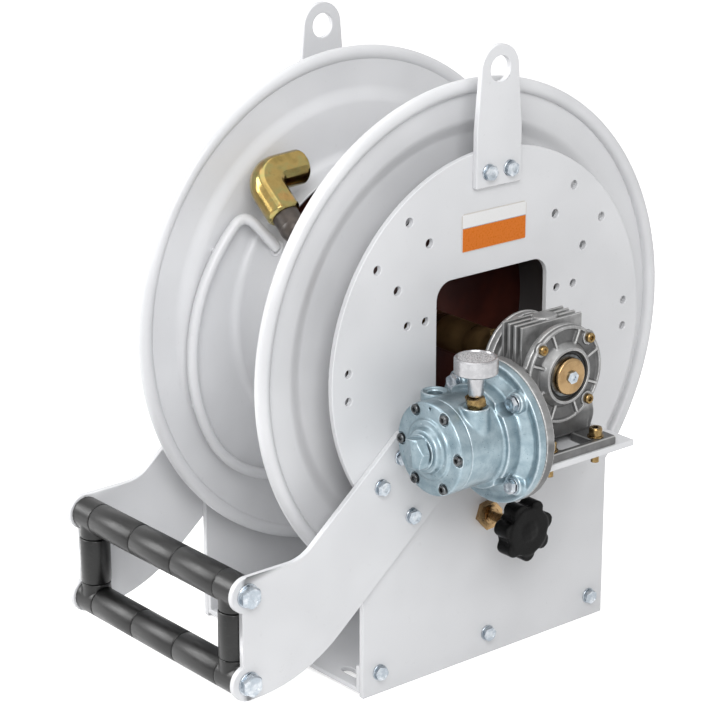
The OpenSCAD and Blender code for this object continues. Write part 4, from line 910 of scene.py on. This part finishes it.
def makeFins():
    g, c = gear, boss["chamfer"]
    pitch = (g["outer"] - g["inner"] - 2 * g["rim"]) / (fin["count"] + 1)
    parts = []
    for i in range(1, fin["count"] + 1):
        x = g["inner"] + g["rim"] + i * pitch - fin["thick"] / 2
        parts.append(block((x, fin["front"], fin["low"]), (x + fin["thick"], fin["back"], fin["top"])))
    top = turned([(boss["low"], boss["radius"]), (boss["top"] - c, boss["radius"]),
                  (boss["top"], boss["radius"] - c), (boss["top"], 0.4)],
                 "Z", (g["x"], boss["y"], axisHigh), 64, False)
    top.data.transform(moved(g["x"], boss["y"], 0) @ Matrix.Diagonal((1, boss["stretch"], 1, 1))
                       @ moved(-g["x"], -boss["y"], 0))
    return smoothShade(cast(parts + [top], [gearBore()], 0.8, 1), 60)


done(makeFins(), "gearbox_fins", "frame", "gear_alloy", alloy)
done(makeHousing(), "gearbox_casting", "frame", "gear_alloy", alloy, "gearbox_housing")

cover = {"plate": 1.6, "lip": 4.6, "ring": 10, "ringRadius": 33, "ringTop": 27.2, "ribs": 8, "rib": 1.2,
         "ribHigh": 5.6, "boss": 7.2, "hole": 3.5}


def makeOuterCover():
    c, face = cover, gear["outer"]
    parts = [acrossGear(face, face + c["plate"], gear["cover"]),
             turned([(face, 43.5), (face, gear["cover"]), (face + c["lip"], 47.2), (face + c["lip"], 44.6)],
                    centre=onAxis),
             acrossGear(face, face + c["ring"], c["ringRadius"], 96, c["ringTop"])]
    for i in range(c["ribs"]):
        rib = block((face + 1, 25, -c["rib"]), (face + c["ribHigh"], 45, c["rib"]))
        rib.data.transform(facing(0, 0, axisHigh, 1, 360 * (i + 0.5) / c["ribs"]))
        parts.append(rib)
    cuts = [acrossGear(face - 1, face + c["ring"] + 2, gear["seal"] + fit)]
    for i, j in fourSigns:
        y, z = i * gear["screws"], axisHigh + j * gear["screws"]
        parts.append(rod((face, y, z), (face + gear["coverThick"], y, z), c["boss"], 40))
        cuts.append(rod((face - 1, y, z), (face + 6, y, z), c["hole"], 24))
    return smoothShade(cast(parts, cuts, 0.6, 3), 60)


done(makeOuterCover(), "outer_cover_casting", "frame", "gear_alloy", coverAlloy, "outer_cover")
for node in ("inner_cover", "gearbox_feet", "bearing_housing"):
    casting = smoothShade(cast([nodeCopy(node)]), 60)
    done(casting, node + "_casting", "frame", "gear_alloy", alloy, node)

coverPlaces = []
for i, j in fourSigns:
    y, z = i * gear["screws"], axisHigh + j * gear["screws"]
    coverPlaces.append(facing(gear["outer"] + gear["coverThick"], y, z, 1, 20 * i + 7 * j))
    coverPlaces.append(facing(gear["inner"] - gear["coverThick"], y, z, -1, 15 * i))
coverScrews = copies(socketScrew(4.9, 4, 3, 10), coverPlaces)
spread(coverScrews, "cover_screw_set", "yellow_zinc", brass, "cover_screws")

foot = {"x": 44.5, "y": 30, "thick": 10.6}
footPlaces = [moved(gear["x"] + i * foot["x"], j * foot["y"], gear["foot"] + foot["thick"]) @ upright
              for i, j in fourSigns]
footScrew = joined([socketScrew(6.5, 8, 4, 27), washer(-1.6, 0, 8, 3.9)])
spread(copies(footScrew, footPlaces), "foot_screw_set", "yellow_zinc", brass, "foot_screws")

seal = {"bore": 21.1, "lip": 21.4, "groove": 21.9, "wall": 23.2, "edge": 23.6, "deep": 1.2, "back": 0.2,
        "inner": 4, "outer": 7.7}


def makeSeals():
    o, parts = seal, []
    outside = gear["seal"] - fit
    for near, long in ((gear["inner"], -o["inner"]), (gear["outer"], o["outer"])):
        far, s = near + long, 1 if long > 0 else -1
        low, lip = far - o["deep"] * s, far - o["back"] * s
        parts.append(turned([(near, o["bore"]), (near, outside), (far, outside), (far, o["edge"]),
                             (low, o["wall"]), (low, o["groove"]), (lip, o["lip"]), (lip, o["bore"])],
                            centre=onAxis))
    return smoothShade(joined(parts), 40)


done(makeSeals(), "oil_seal_pair", "frame", "seal_rubber", rubber, "oil_seals")

hollow = {"bore": 12.52, "radius": 21, "inner": 166.5, "outer": 233.6, "chamfer": 0.6}
shaftCap = {"face": 240, "radius": 17.9, "long": 7.4, "screw": 3, "deep": 4, "recess": 12.6}


def makeHollowShaft():
    h = hollow
    return turned([(h["outer"], h["bore"]), (h["outer"], h["radius"] - h["chamfer"]),
                   (h["outer"] - h["chamfer"], h["radius"]), (h["inner"], h["radius"]),
                   (h["inner"], h["bore"])], centre=onAxis)


def makeShaftCap():
    # a turned disc with a softened front edge and a recess that holds the drum shaft's end
    c = shaftCap
    face, big, under = c["face"], c["radius"], c["face"] - c["long"]
    return turned([(under, c["recess"]), (under, big), (face - 1.8, big), (face - 0.8, big - 0.6),
                   (face - 0.2, big - 1.7), (face, big - 2.9), (face, c["screw"]),
                   (face - c["deep"], c["screw"]), (face - c["deep"], c["recess"])], centre=onAxis)


done(smoothShade(makeHollowShaft(), 32), "hollow_shaft_tube", "drum", "zinc_steel", darkSteel, "hollow_shaft")
done(smoothShade(makeShaftCap(), 32), "shaft_cap_disc", "drum", "bronze", bronze, "shaft_cap")
dimple = turned([(2.2, 2.4), (3.4, 2.6)], loop=False, verts=32)
capScrew = boolean(hexSolid(11, 0, 3), [dimple], "DIFFERENCE")
capScrew.data.transform(facing(shaftCap["face"], 0, axisHigh, 1, 9))
done(smoothShade(capScrew, 32), "shaft_cap_screw", "drum", "zinc_steel", zinc)
print("gearbox made")

# Air motor

motor = {"flangeBack": -58, "flangeFront": -67, "bolted": -73, "barrel": 44.8, "shoulder": 50.5,
         "shoulderEnd": -88, "head": 10.6, "end": -128, "chamber": 30, "shaft": 6.05, "port": 13.5,
         "portX": 28, "portY": -110, "portTop": axisHigh - 7, "bridge": axisHigh - 13}
motorCap = {"radius": 45, "face": -141.5, "screwed": -139.5, "step": -144, "nose": -150.5, "screws": 39.5,
            "seat": 6.1, "hole": 3.5, "bore": 6.1}
capHoles = around(6, motorCap["screws"], 0, wormAxis)


def makeMotorBody():
    m, (x, z) = motor, wormAxis
    y, front, back, rim = m["portY"], m["flangeFront"], m["flangeBack"], gear["flange"]
    # barrel, flange with its raised rim, and the broad shoulder between them
    parts = [alongWorm(m["end"], front, m["barrel"], 128), alongWorm(front + 1.5, back, rim - 0.6, 160),
             alongWorm(m["shoulderEnd"], front + 1, m["shoulder"], 128), alongWorm(-66.5, -72, 58, 128, 51),
             turned([(back, 61), (back, rim), (front, rim - 0.4), (front, 66.5), (front + 2, 62)],
                    "Y", (x, 0, z), 160)]
    cuts = [alongWorm(m["end"] - 1, m["end"] + 48, m["chamber"], 64),
            alongWorm(m["end"], -56, m["shaft"], 32)]
    for along in (x - m["portX"], x + m["portX"]):
        parts.append(rod((along, y, z), (along, y, m["portTop"]), m["port"], 64))
        for deep, wide in ((14, 7.2), (1.6, 10.8)):
            cuts.append(rod((along, y, m["portTop"] - deep), (along, y, m["portTop"] + 2), wide, 48))
    parts.append(block((x - m["portX"], y - 9, z + 20), (x + m["portX"], y + 9, m["bridge"])))
    for boltX, boltZ, a in flangeHoles:
        parts.append(rod((boltX, m["bolted"], boltZ), (boltX, -60, boltZ), 10, 48))
        # room for the bolt's head in the shoulder
        cuts.append(rod((boltX, -92, boltZ), (boltX, m["bolted"] - 0.2, boltZ), m["head"], 40))
        cuts.append(rod((boltX, -76, boltZ), (boltX, -50, boltZ), gear["hole"], 24))
    return smoothShade(cast(parts, cuts, 0.95, 4), 60)


done(makeMotorBody(), "motor_casting", "frame", "motor_paint", motorBlue, "motor_body")


def makeMotorCap():
    c, start, (x, z) = motorCap, motor["end"], wormAxis
    big, face, step, nose = c["radius"], c["face"], c["step"], c["nose"]
    stations = [(start, c["bore"]), (start, big - 0.4), (start - 0.6, big), (face + 1.9, big),
                (face + 0.9, big - 0.4), (face + 0.2, big - 1.2), (face, big - 2.2), (face, 30.6),
                (face - 0.3, 29.6), (step + 0.4, 28.6), (step, 27.8), (step, 23.6), (step - 0.4, 22.5),
                (nose + 1.3, 21), (nose + 0.3, 20.4), (nose, 19.6), (nose, c["bore"])]
    cuts = []
    for holeX, holeZ, a in capHoles:
        cuts.append(rod((holeX, face - 1.5, holeZ), (holeX, c["screwed"], holeZ), c["seat"], 32))
        cuts.append(rod((holeX, c["screwed"], holeZ), (holeX, start + 2, holeZ), c["hole"], 24))
    mark = z + c["screws"]
    cuts.append(rod((x, face - 1.5, mark), (x, face + 3.5, mark), 1.6, 20))
    return smoothShade(cast([turned(stations, "Y", (x, 0, z), 128)], cuts, 0.6, 2), 60)


done(makeMotorCap(), "motor_cap_disc", "frame", "motor_paint", motorBlue, "motor_end_cap")
capPlaces = [facingFront(x, motorCap["screwed"], z, a) for x, z, a in capHoles]
capScrews = copies(socketScrew(4.7, 4, 3, 22), capPlaces)
spread(capScrews, "motor_cap_screw_set", "zinc_steel", darkSteel, "motor_cap_screws")
flangePlaces = [facingFront(x, motor["bolted"], z, a + 22.91831) for x, z, a in flangeHoles]
flangeBolts = copies(makeBolt(small, grip["motor"]), flangePlaces)
spread(flangeBolts, "motor_flange_bolt_set", "zinc_steel", zinc, "motor_flange_screws")


def makePlug():
    ring = turned([(0, 4), (0, 17), (1.6, 17), (2, 16.5), (2, 4)], verts=64)
    piece = joined([hexSolid(28, 0, 12, 0.12), ring])
    piece.data.transform(facingFront(gear["x"], motorCap["nose"], gear["worm"], 10))
    return smoothShade(cast([piece], (), 0.5, 1), 30)


done(makePlug(), "motor_plug_hex", "frame", "motor_paint", motorBlue, "motor_plug")
print("air motor made")

# Silencer

silencer = {"x": gear["x"] + motor["portX"], "y": motor["portY"], "seat": motor["portTop"],
            "top": axisHigh + 41, "base": 10, "thread": 6.58, "threadDeep": 12, "disc": 20.5,
            "thick": 16, "sink": 1.3}


def makeSilencer():
    s = silencer
    x, y, seat, low = s["x"], s["y"], s["seat"], s["seat"] + s["base"]
    hexBase = hexSolid(17, 0, s["base"], 0.1)
    hexBase.data.transform(moved(x, y, seat) @ upright)
    base = joined([hexBase, rod((x, y, seat - s["threadDeep"]), (x, y, seat), s["thread"], 32)])
    done(smoothShade(base, 32), "silencer_hex", "frame", "bronze", brass, "silencer_base")
    top, r, under, dish = s["top"], s["disc"], s["top"] - s["thick"], s["top"] - s["sink"]
    can = turned([(low, 0.5), (low, 6.4), (low + 1, 7), (under - 6, 8), (under - 1.4, 9.4), (under, 13),
                  (under, r - 1.2), (under + 1.2, r), (top - 1.4, r), (top, r - 1.4), (top, r - 2.6),
                  (dish, r - 3.4), (dish, 0.5)], "Z", (x, y, 0), 96, False)
    done(smoothShade(can, 32), "silencer_can", "frame", "silencer_metal", silver, "silencer")
    face = turned([(dish - 0.3, 0.4), (dish - 0.3, r - 3.3), (dish + 0.3, r - 3.6), (dish + 0.5, r - 5),
                   (dish + 0.5, 0.4)], "Z", (x, y, 0), 96, False)
    done(smoothShade(face, 32), "silencer_face", "frame", "silencer_metal", filterGrey)


makeSilencer()
print("silencer made")

# Label plate and brake screw

def makeLabelPlate():
    l = labelSheet
    y, z, c = l["wide"] / 2 - l["corner"], l["high"] / 2 - l["corner"], l["corner"]
    corners = [(i * y, l["middle"] + j * z) for i, j in fourSigns]
    sheet = joined([rod((plateFace, *at), (plateFace + l["thick"], *at), c, 24) for at in corners])
    editMesh(sheet, ("convex_hull", {}), ("dissolve_limited", {"angle_limit": 0.01}))
    return flatShade(rounded(sheet, 0.15, 2, 50), 40)


done(makeLabelPlate(), "rating_label", "frame", "label_sheet", label, "rating_plate")

brakeScrew = {"crest": 6, "root": 4.7, "pitch": 1.75, "pin": 5, "pinLong": 8}


def makeBrakeScrew():
    # lead screw with a plain pin in the pad's holder
    pin, pitch, root, crest = [brakeScrew[key] for key in ("pin", "pitch", "root", "crest")]
    low, high = [end.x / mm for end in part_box("brake_screw")]
    x = low + brakeScrew["pinLong"]
    stations = [(low, pin), (x, pin)]
    while x + pitch < high:
        stations += [(x + 0.1, root), (x + pitch * 0.42, crest), (x + pitch * 0.58, crest),
                     (x + pitch * 0.98, root)]
        x += pitch
    stations.append((high, root))
    return smoothShade(turned(stations, "X", (0, knob["y"], knob["z"]), 48, False), 25)


done(makeBrakeScrew(), "brake_lead_screw", "brake_spindle", "yellow_zinc", bronze, "brake_screw")

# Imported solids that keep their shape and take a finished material
kept = {"roller_rods": zinc, "gearbox_bearings": zinc, "worm_bearings": zinc, "left_bearing": zinc,
        "left_web": primer, "driving_web": primer, "drum_shaft": shaftSteel, "feed_pipe": darkPipe,
        "worm_wheel": brass, "motor_rotor": zinc, "worm": zinc, "brake_pad": lining, "swivel_body": brass}
for node, look in kept.items():
    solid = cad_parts[node]
    for spot in solid.material_slots:
        spot.material = look
print("packed solids dressed")

# Floor, light and camera

light = {"world": 0.42, "floor": 0.62, "key": 57, "top": 19, "rim": 48}


def makeFloor():
    nothingSelected()
    bpy.ops.mesh.primitive_plane_add(size=60, location=(0, 0, cadBox[0][2] - 0.5 * mm))
    floor = bpy.context.object
    floor.name = "studio_floor"
    look = Look("studioFloor", Roughness=0.7)
    look.drive(Base_Color=look.blend(look.spread(look.noise(3, 2), 0.3, 0.7), (0.78,) * 3, (0.80,) * 3))
    level = look.seen() * light["floor"]
    glow = look.add("ShaderNodeEmission", {}, {"Color": (1, 1, 1, 1), "Strength": level})
    both = look.add("ShaderNodeAddShader", {}, {0: Wire(look, look.shader.outputs[0]), 1: glow})
    look.tree.links.new(both.socket, look.tree.nodes["Material Output"].inputs["Surface"])
    floor.data.materials.append(look.material)


def makeWorld():
    world = bpy.data.worlds.new("studioWorld")
    scene.world = world
    world.use_nodes = True
    graph = Graph(world.node_tree)
    back = graph.tree.nodes["Background"]
    level = graph.seen() * (1 - light["world"]) + light["world"]
    graph.tree.links.new(level.socket, back.inputs["Strength"])
    back.inputs["Color"].default_value = (1, 1, 1, 1)


def softLamp(name, place, size, power):
    nothingSelected()
    bpy.ops.object.light_add(type="AREA", location=place)
    lamp = bpy.context.object
    lamp.name = name
    lamp.data.shape = "RECTANGLE"
    lamp.data.size, lamp.data.size_y = size, size
    lamp.data.energy = power
    lamp.rotation_euler = (Vector(place) - Vector((0, 0, 0.3))).to_track_quat("Z", "Y").to_euler()


makeFloor()
makeWorld()
softLamp("keyLamp", (1.9, -1.4, 1.9), 1.6, light["key"])
softLamp("topLamp", (-0.2, -0.3, 2.6), 2.2, light["top"])
softLamp("rimLamp", (-1.6, -1.8, 1.4), 1.4, light["rim"])

view = {"lens": 127.83, "azimuth": 50.226, "down": 18.843, "place": (1.8501, -1.5986, 1.10922)}
nothingSelected()
turn, dip = radians(view["azimuth"]), radians(view["down"])
backward = Vector((sin(turn) * cos(dip), -cos(turn) * cos(dip), sin(dip)))
bpy.ops.object.camera_add(location=view["place"], rotation=backward.to_track_quat("Z", "Y").to_euler())
camera = bpy.context.object
camera.data.lens = view["lens"]
camera.data.sensor_width = 36
camera.data.clip_end = 100
scene.camera = camera
scene.view_settings.view_transform = "Standard"
print("light and camera set")
